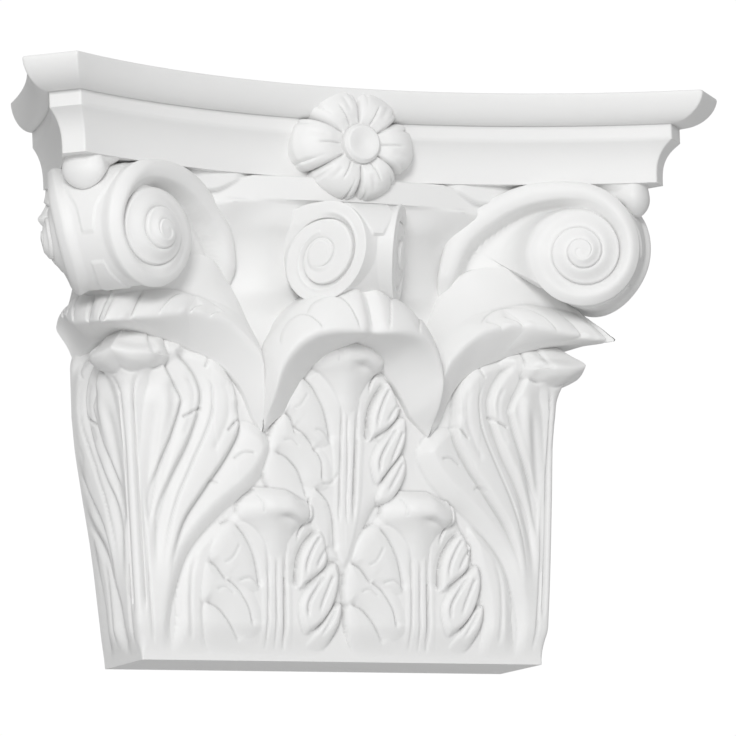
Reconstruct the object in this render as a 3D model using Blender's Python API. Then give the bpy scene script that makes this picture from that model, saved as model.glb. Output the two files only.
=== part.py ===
"""Pilaster capital of the Corinthian order, moulded as one flat-backed piece.

Run it with: blender --background --python part.py
Units are metres and +Z is up. The origin is the centre of the underside,
which stands on the pilaster's shaft, and the front looks along -Y.

All lengths below are in millimetres, and while the shapes are worked out
depth is counted from the wall: the flat back lies in the plane y = 0. Each
finished mesh is then scaled by MM and moved onto the origin.
"""

import math

import bmesh
import bpy

MM = 0.001

# Overall size.
HEIGHT = 282.0
BASE_HALF_WIDTH = 110.0
BASE_DEPTH = 45.0
# A corner's diagonal plane is x + y = DIAGONAL: what is carved on the front
# repeats on the return, mirrored across it.
DIAGONAL = BASE_HALF_WIDTH - BASE_DEPTH

# Bell: the plain core behind the leaves, with its lip under the abacus.
BELL_LEAN = 0.07
BELL_LEAN_TOP = 125.0
BELL_STRAIGHT_TOP = 192.0
LIP_BOTTOM = 225.5
LIP_DEPTH = 72.0
BELL_TOP = 245.0

# Abacus: concave fronts struck from one radius, with cut-off horns.
ABACUS_FRONT_DEPTH = 80.5
ABACUS_RADIUS = 343.6
ABACUS_BOTTOM = 238.5
FILLET_BOTTOM = 259.6
OVOLO_BOTTOM = 267.2
OVOLO_INSET = 10.9
CAVETTO_INSET = 16.0
HORN_HALF_WIDTH = 14.1
HORN_HALF_WIDTH_FILLET = 8.2
HORN_HALF_WIDTH_BOTTOM = 6.0

# Corner volutes: each face leans inward from the nose at the horn.
VOLUTE_TURN = math.radians(28.4)
VOLUTE_PLACE = (122.0, -87.0, 200.0)
VOLUTE_TOP_RADIUS = 37.4
VOLUTE_POLE = (-3.0, 1.5)
VOLUTE_EYE_RISE = 15.7

# Helices: two smaller scrolls that meet in a prow under the rosette.
HELIX_TURN = math.radians(56.0)
HELIX_NOSE = (7.0, -101.5)
HELIX_LEAN = 0.25
HELIX_REACH = 28.0
HELIX_LEVEL = 199.0
HELIX_TOP_RADIUS = 28.5
HELIX_POLE = (1.5, 1.0)
HELIX_EYE_RISE = 3.0

SPIRAL_SHRINK = 0.585
SPIRAL_STEPS = 20
SPIRAL_END = 900.0
SPIRAL_JOINT = 234.0
STEM_STATIONS = 4

# Rosette on the abacus.
ROSETTE_LEVEL = 253.5
ROSETTE_FRONT = 84.4
ROSETTE_RADIUS = 30.5
BUTTON_RADIUS = 10.0
PETALS = 6

# Bud under each horn.
BUD_PLACE = (150.0, -85.0, 233.0)
BUD_RADIUS = 10.5

SMALL_LEAF_OFFSET = 38.7
EMBED = 9.0
# The returns run on this far behind the wall plane before they are cut flush.
BEHIND_WALL = 6.0


def bell_depth(z):
    """Depth of the bell's front face from the back, at height z."""
    start = BASE_DEPTH + BELL_LEAN * min(z, BELL_LEAN_TOP)
    if z <= BELL_STRAIGHT_TOP:
        return start
    rise = min((z - BELL_STRAIGHT_TOP) / (LIP_BOTTOM - BELL_STRAIGHT_TOP), 1.0)
    return start + (LIP_DEPTH - 4.0 - start) * (1.0 - math.cos(rise * math.pi / 2))


def bell_half_width(z):
    """Half width of the bell at height z: it flares alike on all faces."""
    return bell_depth(z) + DIAGONAL


def across_diagonal(point):
    """Mirror a point across the right-hand corner's diagonal plane."""
    x, y, z = point
    return (DIAGONAL - y, DIAGONAL - x, z)


def across_middle(point):
    """Mirror a point from right to left."""
    x, y, z = point
    return (-x, y, z)


def bezier(p0, p1, p2, p3, t):
    """Point at t on a cubic curve."""
    s = 1.0 - t
    weights = (s**3, 3 * s * s * t, 3 * s * t * t, t**3)
    return tuple(
        sum(w * p[i] for w, p in zip(weights, (p0, p1, p2, p3)))
        for i in range(len(p0))
    )


def between(table, x):
    """Read a short table of (x, value) pairs with straight lines between."""
    if x <= table[0][0]:
        return table[0][1]
    for (x0, v0), (x1, v1) in zip(table, table[1:]):
        if x <= x1:
            return v0 + (v1 - v0) * (x - x0) / (x1 - x0)
    return table[-1][1]


def smooth(x):
    """Ease from 0 to 1."""
    x = min(max(x, 0.0), 1.0)
    return x * x * (3.0 - 2.0 * x)


def new_object(name, bm):
    """Make an object from a mesh in millimetres, with outward faces."""
    bmesh.ops.remove_doubles(bm, verts=bm.verts, dist=0.02)
    bmesh.ops.recalc_face_normals(bm, faces=bm.faces)
    bmesh.ops.triangulate(bm, faces=bm.faces)
    bmesh.ops.translate(bm, vec=(0.0, BASE_DEPTH / 2.0, 0.0), verts=bm.verts)
    bmesh.ops.scale(bm, vec=(MM, MM, MM), verts=bm.verts)
    mesh = bpy.data.meshes.new(name)
    bm.to_mesh(mesh)
    bm.free()
    thing = bpy.data.objects.new(name, mesh)
    bpy.context.scene.collection.objects.link(thing)
    return thing


def loft(name, rings):
    """Skin closed rings of equal length and cap both ends."""
    bm = bmesh.new()
    loops = [[bm.verts.new(point) for point in ring] for ring in rings]
    count = len(rings[0])
    for below, above in zip(loops, loops[1:]):
        for i in range(count):
            j = (i + 1) % count
            bm.faces.new((below[i], below[j], above[j], above[i]))
    bm.faces.new(loops[0])
    bm.faces.new(loops[-1])
    return new_object(name, bm)


def make_bell():
    """The core: a flaring block with a lip, cut square at the back."""
    levels = [0.0, BELL_LEAN_TOP, BELL_STRAIGHT_TOP]
    levels += [BELL_STRAIGHT_TOP + step * 8.0 for step in (1, 2, 3)]
    levels.append(LIP_BOTTOM - 0.5)
    sizes = [(z, bell_depth(z)) for z in levels]
    sizes.append((LIP_BOTTOM, LIP_DEPTH - 1.0))
    sizes.append((LIP_BOTTOM + 1.5, LIP_DEPTH))
    sizes.append((BELL_TOP, LIP_DEPTH))
    rings = []
    for z, depth in sizes:
        half = depth + DIAGONAL
        back = BEHIND_WALL
        rings.append([(-half, back, z), (-half, -depth, z), (half, -depth, z), (half, back, z)])
    return loft("bell", rings)


def abacus_outline(inset, horn_half_width, z):
    """Plan of the abacus at one level, from the left wall end to the right."""
    centre = -(ABACUS_FRONT_DEPTH + ABACUS_RADIUS)
    radius = ABACUS_RADIUS + inset

    def front_y(x):
        return centre + math.sqrt(radius * radius - x * x)

    # The front arc ends where it is horn_half_width from the diagonal plane:
    # x + y = reach, solved with the circle.
    reach = DIAGONAL - horn_half_width * math.sqrt(2.0) - centre
    corner = (reach - math.sqrt(2.0 * radius * radius - reach * reach)) / 2.0
    front_steps = 20
    side_steps = 5
    right = []
    for step in range(side_steps + 1):
        x = corner + (DIAGONAL - BEHIND_WALL - corner) * step / side_steps
        right.append(across_diagonal((x, front_y(x), z)))
    left = [across_middle(point) for point in reversed(right)]
    front = []
    for step in range(front_steps + 1):
        x = -corner + 2.0 * corner * step / front_steps
        front.append((x, front_y(x), z))
    return left + front + right


def make_abacus():
    """Ovolo, fillet and cavetto around a concave plan, flat on top."""
    rings = []
    steps = 4
    for step in range(steps + 1):
        angle = math.pi / 2 * step / steps
        rise = math.sin(angle) ** 0.8
        run = 1.0 - math.cos(angle)
        horn = HORN_HALF_WIDTH + (HORN_HALF_WIDTH_FILLET - HORN_HALF_WIDTH) * run
        z = HEIGHT - (HEIGHT - OVOLO_BOTTOM) * rise
        rings.append(abacus_outline(OVOLO_INSET * run, horn, z))
    for step in range(steps + 1):
        angle = math.pi / 2 * step / steps
        run = math.sin(angle)
        drop = 1.0 - math.cos(angle)
        horn_drop = HORN_HALF_WIDTH_BOTTOM - HORN_HALF_WIDTH_FILLET
        inset = OVOLO_INSET + (CAVETTO_INSET - OVOLO_INSET) * run
        z = FILLET_BOTTOM - (FILLET_BOTTOM - ABACUS_BOTTOM) * drop
        rings.append(abacus_outline(inset, HORN_HALF_WIDTH_FILLET + horn_drop * run, z))
    return loft("abacus", rings)


def spiral_face(shape):
    """Vertices, faces and rim of one scroll, in its own plane.

    The scroll is a ribbon that winds in clockwise from the stem: the inner
    edge of each turn is the outer edge of the next. Points are (a, b, c),
    with a toward the nose, b up and c out of the face.
    """
    turn = SPIRAL_STEPS
    step_angle = 360.0 / turn
    lead = int(round((360.0 - SPIRAL_JOINT) / step_angle))
    pole_a, pole_b = shape["pole"]

    def outer_point(station):
        phi = (station - STEM_STATIONS - lead) * step_angle
        if phi < 0.0:
            part = -phi / (lead * step_angle + STEM_STATIONS * step_angle)
            return bezier(*shape["stem_outer"], part)
        radius = shape["radius"] * SPIRAL_SHRINK ** (phi / 360.0)
        angle = math.radians(90.0 - phi)
        return (pole_a + radius * math.cos(angle), pole_b + radius * math.sin(angle))

    def rise(station):
        phi = (station - STEM_STATIONS - lead) * step_angle
        return between(shape["rise"], phi)

    last = STEM_STATIONS + lead + int(SPIRAL_END / step_angle)
    ribbons = last - turn
    verts = []
    outer = []
    for station in range(last + 1):
        a, b = outer_point(station)
        outer.append(len(verts))
        verts.append((a, b, rise(station)))
    lower = []
    for station in range(STEM_STATIONS):
        a, b = bezier(*shape["stem_lower"], station / STEM_STATIONS)
        lower.append(len(verts))
        verts.append((a, b, rise(station)))
    shares = shape["shares"]
    rows = []
    for station in range(ribbons + 1):
        inner = lower[station] if station < STEM_STATIONS else outer[station + turn]
        row = [outer[station]]
        a0, b0, c0 = verts[outer[station]]
        a1, b1, c1 = verts[inner]
        for share, lift in shares:
            row.append(len(verts))
            a = a0 + (a1 - a0) * share
            b = b0 + (b1 - b0) * share
            verts.append((a, b, c0 + (c1 - c0) * share + lift))
        row.append(inner)
        rows.append(row)
    faces = []
    for here, there in zip(rows, rows[1:]):
        for i in range(len(here) - 1):
            faces.append((here[i], there[i], there[i + 1], here[i + 1]))
    eye = len(verts)
    eye_a = sum(verts[outer[k]][0] for k in range(last - turn, last)) / turn
    eye_b = sum(verts[outer[k]][1] for k in range(last - turn, last)) / turn
    verts.append((eye_a, eye_b, shape["eye"]))
    hole = rows[-1] + [outer[k] for k in range(last - 1, last - turn - 1, -1)]
    for here, there in zip(hole, hole[1:]):
        faces.append((here, there, eye))
    joint = STEM_STATIONS + turn
    rim = outer[: joint + 1] + list(reversed(lower)) + list(reversed(rows[0][1:-1]))
    return verts, faces, rim


def scroll_pair(name, shape, place, mirror):
    """Two scrolls back to back: a face, its mirror image and the band."""
    verts, faces, rim = spiral_face(shape)
    front = [place(*point) for point in verts]
    bm = bmesh.new()
    near = [bm.verts.new(point) for point in front]
    far = [bm.verts.new(mirror(point)) for point in front]
    for face in faces:
        bm.faces.new([near[i] for i in face])
        bm.faces.new([far[i] for i in reversed(face)])
    for i, index in enumerate(rim):
        following = rim[(i + 1) % len(rim)]
        bm.faces.new((near[index], far[index], far[following], near[following]))
    return new_object(name, bm)


VOLUTE_SHAPE = {
    "radius": VOLUTE_TOP_RADIUS,
    "pole": VOLUTE_POLE,
    "eye": VOLUTE_EYE_RISE,
    "stem_outer": ((-3.0, 38.9), (-38.0, 39.0), (-76.0, 20.0), (-72.0, -14.0)),
    "stem_lower": ((-70.0, -19.0), (-55.0, -8.0), (-38.0, -8.0), (-24.0, -18.0)),
    "rise": (
        (-160.0, 0.0), (0.0, 6.0), (90.0, 0.5), (180.0, 1.5), (360.0, 4.0),
        (450.0, 1.5), (540.0, 6.0), (630.0, 11.5), (900.0, 13.5),
    ),
    "shares": ((0.18, 2.6), (0.4, -0.6), (0.75, 0.8)),
}

HELIX_SHAPE = {
    "radius": HELIX_TOP_RADIUS,
    "pole": HELIX_POLE,
    "eye": HELIX_EYE_RISE,
    "stem_outer": ((1.5, 29.5), (-20.0, 30.0), (-38.0, 15.0), (-38.0, -8.0)),
    "stem_lower": ((-38.0, -14.0), (-32.0, -18.0), (-26.0, -20.0), (-16.5, -14.5)),
    "rise": ((-160.0, -1.0), (0.0, 0.0), (360.0, 0.5), (630.0, 1.5), (900.0, 2.0)),
    "shares": ((0.2, 1.2), (0.5, 0.8), (0.8, 0.6)),
}


def make_corner_volutes():
    """A pair of scrolls on each corner's diagonal, right then left."""
    x0, y0, z0 = VOLUTE_PLACE
    cos_turn = math.cos(VOLUTE_TURN)
    sin_turn = math.sin(VOLUTE_TURN)

    def place(a, b, c):
        x = x0 + a * cos_turn - c * sin_turn
        y = y0 - a * sin_turn - c * cos_turn
        return (x, y, z0 + b)

    def place_left(a, b, c):
        return across_middle(place(a, b, c))

    def mirror_left(point):
        return across_middle(across_diagonal(across_middle(point)))

    right = scroll_pair("volutes_right", VOLUTE_SHAPE, place, across_diagonal)
    left = scroll_pair("volutes_left", VOLUTE_SHAPE, place_left, mirror_left)
    return [right, left]


def make_helices():
    """The prow of two scrolls at the middle of the front."""
    cos_turn = math.cos(HELIX_TURN)
    sin_turn = math.sin(HELIX_TURN)
    x0 = HELIX_NOSE[0] + HELIX_REACH * cos_turn
    y0 = HELIX_NOSE[1] + HELIX_REACH * sin_turn

    def place(a, b, c):
        x = x0 - a * cos_turn + c * sin_turn
        y = y0 - a * sin_turn - c * cos_turn - b * HELIX_LEAN
        return (x, y, HELIX_LEVEL + b)

    return scroll_pair("helices", HELIX_SHAPE, place, across_middle)


# Calyx leaves: the rim of each leaf as two curves in (x, z) on the front.
OUTER_LIP_LOWER = ((46.0, 114.0), (44.0, 165.0), (80.0, 172.0), (145.0, 160.0))
OUTER_LIP_UPPER = ((46.0, 120.0), (38.0, 178.0), (75.0, 184.0), (140.0, 175.0))
INNER_LIP_LOWER = ((46.0, 114.0), (36.0, 140.0), (22.0, 153.0), (1.5, 159.0))
INNER_LIP_UPPER = ((46.0, 120.0), (44.0, 165.0), (28.0, 180.0), (1.5, 175.0))
OUTER_TIP = (145.0, -80.0)
INNER_TIP_DEPTH = 93.5


def calyx_ring(low, high, lip_xy, foot_x, foot_y, back):
    """One cross-section of a calyx leaf: foot, hollow, lip and back."""
    hollow = 0.42
    lip_x, lip_y = lip_xy
    hollow_x = foot_x + (lip_x - foot_x) * hollow
    hollow_y = foot_y + (lip_y - foot_y) * hollow
    thick = max(high - low, 4.0)
    out_x = lip_x + (lip_x - foot_x) * 0.06
    out_y = lip_y + (lip_y - foot_y) * 0.06
    return [
        (back[0], back[1], low - 1.5 * thick),
        (foot_x, foot_y, low - 1.3 * thick),
        (hollow_x, hollow_y, low - 0.35 * thick),
        (lip_x, lip_y, low),
        (out_x, out_y, low + 0.45 * thick),
        (foot_x + (lip_x - foot_x) * 0.85, foot_y + (lip_y - foot_y) * 0.85, high),
        (foot_x, foot_y, high + 0.25 * thick),
        (back[0], back[1], high + 0.3 * thick),
    ]


def make_outer_calyx():
    """The leaf that flares from the stalk to the corner, and its return."""
    stations = 10
    rings = []
    for station in range(stations + 1):
        t = station / stations
        x, low = bezier(*OUTER_LIP_LOWER, t)
        high = bezier(*OUTER_LIP_UPPER, t)[1]
        share = max((x - 46.0) / (OUTER_TIP[0] - 46.0), 0.0)
        y = -56.0 + (OUTER_TIP[1] + 56.0) * math.sin(share * math.pi / 2) ** 0.8
        foot_depth = bell_depth(low) - 1.0
        foot_x = 46.0 + (foot_depth + DIAGONAL - 46.0) * smooth(t)
        back = (foot_x - EMBED * t, -foot_depth + EMBED)
        rings.append(calyx_ring(low, high, (x, y), foot_x, -foot_depth, back))
    last = rings[-1]
    for i, (x, y, z) in enumerate(last):
        shift = (x + y - DIAGONAL) / 2.0
        last[i] = (x - shift, y - shift, z)
    returned = [[across_diagonal(point) for point in ring] for ring in reversed(rings[:-1])]
    right_rings = rings + returned
    left_rings = [[across_middle(point) for point in ring] for ring in right_rings]
    return [loft("calyx_right", right_rings), loft("calyx_left", left_rings)]


def make_inner_calyx():
    """The leaves that curl from both stalks to the middle, under the prow."""
    stations = 9
    rings = []
    for station in range(stations + 1):
        t = station / stations
        x, low = bezier(*INNER_LIP_LOWER, t)
        high = bezier(*INNER_LIP_UPPER, t)[1]
        share = max(1.0 - x / 46.0, 0.0)
        y = -56.0 - (INNER_TIP_DEPTH - 56.0) * share**0.8
        foot_y = -bell_depth(low) + 1.0
        foot_x = x * 0.9
        rings.append(calyx_ring(low, high, (x, y), foot_x, foot_y, (foot_x, foot_y + EMBED)))
    returned = [[across_middle(point) for point in ring] for ring in reversed(rings)]
    return loft("calyx_middle", rings + returned)


# Leaves, from the root up. "widths" and "hood_widths" are half widths against
# the share of the height; the hood is the tip that turns over outward.
CORNER_LEAF = {
    "root": 6.0,
    "tip": 161.0,
    "widths": (
        (0.0, 10.0), (0.18, 19.0), (0.32, 25.0), (0.42, 37.0), (0.55, 53.0),
        (0.72, 59.0), (0.86, 58.0), (0.95, 50.0), (1.0, 38.0),
    ),
    "hood_widths": ((0.0, 5.0), (0.6, 9.0), (0.8, 13.0), (0.9, 24.0), (1.0, 27.0)),
    "hood_rises": (
        (0.0, 1.0), (0.5, 1.5), (0.8, 4.0), (0.88, 6.5), (0.915, 12.0),
        (0.96, 11.0), (1.0, 4.0),
    ),
    "edge_rise": 3.5,
    "lobes": 5,
}
MIDDLE_LEAF = {
    "root": 42.0,
    "tip": 157.0,
    "widths": (
        (0.0, 3.0), (0.16, 11.0), (0.33, 23.0), (0.5, 32.0), (0.68, 34.0),
        (0.84, 28.0), (0.93, 24.0), (1.0, 16.0),
    ),
    "hood_widths": ((0.0, 2.0), (0.6, 4.0), (0.8, 9.0), (0.9, 19.0), (1.0, 15.0)),
    "hood_rises": (
        (0.0, 2.0), (0.4, 4.5), (0.75, 8.0), (0.85, 10.0), (0.89, 16.0),
        (0.95, 16.0), (1.0, 8.0),
    ),
    "edge_rise": 3.0,
    "lobes": 4,
}
SMALL_LEAF = {
    "root": 5.0,
    "tip": 83.0,
    "widths": (
        (0.0, 25.0), (0.12, 33.0), (0.35, 37.0), (0.6, 35.0), (0.76, 27.0),
        (0.88, 22.0), (1.0, 14.0),
    ),
    "hood_widths": ((0.0, 4.0), (0.6, 5.0), (0.75, 9.0), (0.88, 20.0), (1.0, 13.0)),
    "hood_rises": (
        (0.0, 2.0), (0.5, 3.0), (0.76, 5.0), (0.82, 7.5), (0.86, 12.0),
        (0.93, 11.5), (1.0, 5.0),
    ),
    "edge_rise": 3.0,
    "lobes": 4,
}
LEAF_ROWS = (
    0.0, 0.06, 0.12, 0.18, 0.25, 0.32, 0.39, 0.46, 0.53, 0.6, 0.66, 0.72,
    0.78, 0.83, 0.87, 0.895, 0.93, 0.965, 1.0,
)


def leaf_half(leaf):
    """Rows of (distance from the midrib, rise, z) for half a leaf."""
    rows = []
    for v in LEAF_ROWS:
        z = leaf["root"] + (leaf["tip"] - leaf["root"]) * v
        lobe = abs(math.sin(math.pi * leaf["lobes"] * min(v / 0.9, 1.0)))
        width = between(leaf["widths"], v) - 4.5 * (1.0 - lobe) * smooth(v * 6.0)
        hood = min(between(leaf["hood_widths"], v), width - 1.5)
        rise = between(leaf["hood_rises"], v)
        edge = 1.0 + leaf["edge_rise"] * smooth(v * 4.0) * (0.4 + 0.6 * lobe)
        row = [(width, -EMBED, z), (width, edge * 0.6, z)]
        row.append((hood + (width - hood) * 0.7, edge, z))
        row.append((hood + 0.8, 0.8, z))
        row.append((hood * 0.75, 0.8 + rise * 0.66, z))
        row.append((hood * 0.35, 0.8 + rise * 0.94, z))
        row.append((0.0, 0.8 + rise, z))
        rows.append(row)
    return rows


def make_corner_leaf():
    """The leaf whose midrib is the arris, folded around the corner."""
    rings = []
    for row in leaf_half(CORNER_LEAF):
        front = []
        for distance, rise, z in row:
            wrap = max(1.0 - distance / 14.0, 0.0) if rise > 0.0 else 0.0
            x = bell_half_width(z) - distance + rise * wrap
            front.append((x, -bell_depth(z) - rise, z))
        side = [across_diagonal(point) for point in reversed(front[:-1])]
        rings.append(front + side)
    left = [[across_middle(point) for point in ring] for ring in rings]
    return [loft("corner_leaf_right", rings), loft("corner_leaf_left", left)]


def make_front_leaf(name, leaf, middle):
    """A leaf that stands on the front, centred on x = middle."""
    rings = []
    for row in leaf_half(leaf):
        half = [(distance, -bell_depth(z) - rise, z) for distance, rise, z in row]
        right = [(middle + x, y, z) for x, y, z in half]
        left = [(middle - x, y, z) for x, y, z in reversed(half[:-1])]
        rings.append(right + left)
    return loft(name, rings)


def make_rosette():
    """Six rounded petals around a dished button."""
    around = 42
    hollow = 0.22
    profile = (
        (0.0, 0.3), (0.45, -0.8), (0.85, 0.6), (1.0, -1.0), (1.12, -5.0),
    )
    petal_profile = ((0.5, -2.5), (0.78, -3.5), (0.94, -6.5), (1.0, -10.0))
    rings = []
    for share, rise in profile[1:]:
        rings.append([(share * BUTTON_RADIUS, rise, k, 0.0) for k in range(around)])
    for share, rise in petal_profile:
        rings.append([(share * ROSETTE_RADIUS, rise, k, share) for k in range(around)])
    rings.append([(0.9 * ROSETTE_RADIUS, -30.0, k, 0.9) for k in range(around)])
    solid = []
    for ring in rings:
        points = []
        for radius, rise, k, share in ring:
            angle = 2.0 * math.pi * k / around
            lobe = abs(math.sin(PETALS * angle / 2.0 + math.pi / 2.0))
            reach = radius * (1.0 - hollow * share * (1.0 - lobe**0.5))
            lift = rise - 3.0 * share * (1.0 - lobe)
            x = reach * math.cos(angle)
            z = ROSETTE_LEVEL + reach * math.sin(angle)
            points.append((x, -ROSETTE_FRONT - lift, z))
        solid.append(points)
    return loft("rosette", solid)


def make_buds():
    """A rounded bud under each horn."""
    buds = []
    for side, name in ((1.0, "bud_right"), (-1.0, "bud_left")):
        bm = bmesh.new()
        bmesh.ops.create_icosphere(bm, subdivisions=2, radius=BUD_RADIUS)
        x, y, z = BUD_PLACE
        bmesh.ops.translate(bm, vec=(x * side, y, z), verts=bm.verts)
        buds.append(new_object(name, bm))
    return buds


def make_back_cutter():
    """A block behind the wall plane, which trims the returns flush."""
    bm = bmesh.new()
    bmesh.ops.create_cube(bm, size=1.0)
    bmesh.ops.scale(bm, vec=(600.0, 200.0, 600.0), verts=bm.verts)
    bmesh.ops.translate(bm, vec=(0.0, 100.0, HEIGHT / 2.0), verts=bm.verts)
    return new_object("wall_plane", bm)


def make_material():
    """White primer with a soft sheen."""
    material = bpy.data.materials.new("white_primer")
    material.use_nodes = True
    shader = material.node_tree.nodes["Principled BSDF"]
    shader.inputs["Base Color"].default_value = (0.86, 0.86, 0.85, 1.0)
    shader.inputs["Roughness"].default_value = 0.55
    shader.inputs["Metallic"].default_value = 0.0
    return material


def combine(body, additions, cutter):
    """Fuse the carved parts with the bell into the one moulded solid."""
    carving = bpy.data.collections.new("carving")
    for thing in additions + [cutter]:
        thing.hide_render = True
        thing.display_type = "WIRE"
    for thing in additions:
        carving.objects.link(thing)
    fuse = body.modifiers.new("fuse", "BOOLEAN")
    fuse.operation = "UNION"
    fuse.solver = "EXACT"
    fuse.operand_type = "COLLECTION"
    fuse.collection = carving
    trim = body.modifiers.new("trim", "BOOLEAN")
    trim.operation = "DIFFERENCE"
    trim.solver = "EXACT"
    trim.object = cutter


def main():
    """Build the capital."""
    for thing in list(bpy.data.objects):
        bpy.data.objects.remove(thing, do_unlink=True)
    body = make_bell()
    body.name = "pilaster_capital"
    additions = [make_abacus()]
    additions += make_outer_calyx()
    additions.append(make_inner_calyx())
    additions += make_corner_volutes()
    additions.append(make_helices())
    additions += make_corner_leaf()
    additions.append(make_front_leaf("middle_leaf", MIDDLE_LEAF, 0.0))
    for side in (1.0, -1.0):
        leaf_name = "small_leaf_right" if side > 0 else "small_leaf_left"
        additions.append(make_front_leaf(leaf_name, SMALL_LEAF, side * SMALL_LEAF_OFFSET))
    additions.append(make_rosette())
    additions += make_buds()
    combine(body, additions, make_back_cutter())
    body.data.materials.append(make_material())


main()
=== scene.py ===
"""Looks of the Corinthian pilaster capital.

Every carved form is a dense mesh grid, shaped from a few named sizes and
spline lines in millimetres. While a form is worked out, x runs along the
front, y = 0 is the wall and the front looks along -y, and z = 0 is the
underside. Finished meshes are scaled to metres and moved onto the frame.
"""

from __future__ import annotations

import logging
import math
from dataclasses import dataclass
from enum import Enum
from typing import Callable, Sequence

import bmesh
import bpy
import numpy as np
from mathutils import Matrix, Vector

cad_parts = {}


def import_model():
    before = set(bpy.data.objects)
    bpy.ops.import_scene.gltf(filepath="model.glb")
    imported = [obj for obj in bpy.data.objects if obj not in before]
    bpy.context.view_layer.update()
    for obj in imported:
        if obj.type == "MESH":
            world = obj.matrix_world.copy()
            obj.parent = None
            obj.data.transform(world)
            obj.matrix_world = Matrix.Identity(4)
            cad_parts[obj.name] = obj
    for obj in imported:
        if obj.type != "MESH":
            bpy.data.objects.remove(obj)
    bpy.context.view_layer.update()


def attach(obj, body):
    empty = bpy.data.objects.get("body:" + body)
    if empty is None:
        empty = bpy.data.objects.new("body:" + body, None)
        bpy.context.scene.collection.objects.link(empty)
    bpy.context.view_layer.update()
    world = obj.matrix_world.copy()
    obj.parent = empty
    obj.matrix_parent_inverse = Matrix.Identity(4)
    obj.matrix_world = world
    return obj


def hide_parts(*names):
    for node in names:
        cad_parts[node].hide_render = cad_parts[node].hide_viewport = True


LOG = logging.getLogger("capital")
NODE = "pilaster_capital"
MM = 0.001  # metres in a millimetre

Array = np.ndarray
Places = tuple[Array, Array, Array]
Place = Callable[[Array, Array, Array], Places]
Points = Sequence[tuple[float, float]]
Line3 = Sequence[tuple[float, float, float]]
Fade = tuple[float, float]

FADE: Fade = (0.12, 0.12)  # shares of a stroke over which its ends fade
STEEPEST = 2.5  # most that a table's slope exceeds the gentler one beside a point
TINY = 1e-6  # keeps a division safe
WELD = 0.004  # vertices nearer than this are one, in millimetres


class Side(Enum):
    """A half of the capital, with its sign on x."""

    RIGHT = 1.0
    LEFT = -1.0

    def piece(self, stem: str) -> str:
        """Name of this side's piece."""
        return f"{stem}_{self.name.lower()}"


# ---------------------------------------------------------------- curves


def smooth(x: Array | float) -> Array:
    """Ease from 0 to 1."""
    x = np.clip(x, 0.0, 1.0)
    return x * x * (3.0 - 2.0 * x)


def ramp(x: Array | float, start: float | Array, end: float | Array) -> Array:
    """Ease from 0 at start to 1 at end, which may lie below the start."""
    return smooth((x - start) / (end - start))


def dome(x: Array | float) -> Array:
    """Quarter-round: 0 at 0, 1 at 1, steep first and level at the end."""
    x = np.clip(x, 0.0, 1.0)
    return np.sqrt(np.maximum(1.0 - (1.0 - x) ** 2, 0.0))


def bump(x: Array, middle: float, width: float) -> Array:
    """Bell-shaped bump, 1 at its middle."""
    return np.exp(-(((x - middle) / width) ** 2))


def read(table: Points, x: Array | float) -> Array:
    """Read a short table along a smooth curve that keeps to its values.

    Args:
        table: Pairs of a place and its value, with the places rising.
        x: Places to read; beyond the table its end values hold.

    Returns:
        The value at each place.
    """
    xs = np.array([p[0] for p in table], float)
    ys = np.array([p[1] for p in table], float)
    slope = np.gradient(ys, xs)
    rise = np.diff(ys) / np.diff(xs)
    for i in range(1, len(xs) - 1):
        if rise[i - 1] * rise[i] <= 0.0:
            slope[i] = 0.0
        else:
            cap = STEEPEST * min(abs(rise[i - 1]), abs(rise[i]))
            slope[i] = math.copysign(min(abs(slope[i]), cap), slope[i])
    x = np.clip(np.asarray(x, float), xs[0], xs[-1])
    i = np.clip(np.searchsorted(xs, x, side="right") - 1, 0, len(xs) - 2)
    h = xs[i + 1] - xs[i]
    t = (x - xs[i]) / h
    a = ys[i] * (1 + 2 * t) * (1 - t) ** 2
    b = ys[i + 1] * t * t * (3 - 2 * t)
    c = slope[i] * h * t * (1 - t) ** 2
    d = slope[i + 1] * h * t * t * (t - 1)
    return a + b + c + d


def spline(points: Points | Line3, steps: int = 10, closed: bool = False) -> Array:
    """Sample a smooth curve through some points.

    Args:
        points: The points, on a plane or in space.
        steps: Samples from each point to the next.
        closed: Whether the curve returns to its first point.

    Returns:
        One row for each sample.
    """
    p = np.array(points, float)
    if closed:
        p = np.vstack([p[-1], p, p[0], p[1]])
    else:
        p = np.vstack([2 * p[0] - p[1], p, 2 * p[-1] - p[-2]])
    out = []
    for i in range(1, len(p) - 2):
        t = np.linspace(0.0, 1.0, steps, endpoint=False)[:, None]
        a, b, c, d = p[i - 1], p[i], p[i + 1], p[i + 2]
        out.append(
            0.5 * (2 * b + (c - a) * t + (2 * a - 5 * b + 4 * c - d) * t * t
                   + (3 * b - a - 3 * c + d) * t**3)
        )
    if not closed:
        out.append(p[-2][None, :])
    return np.vstack(out)


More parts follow.
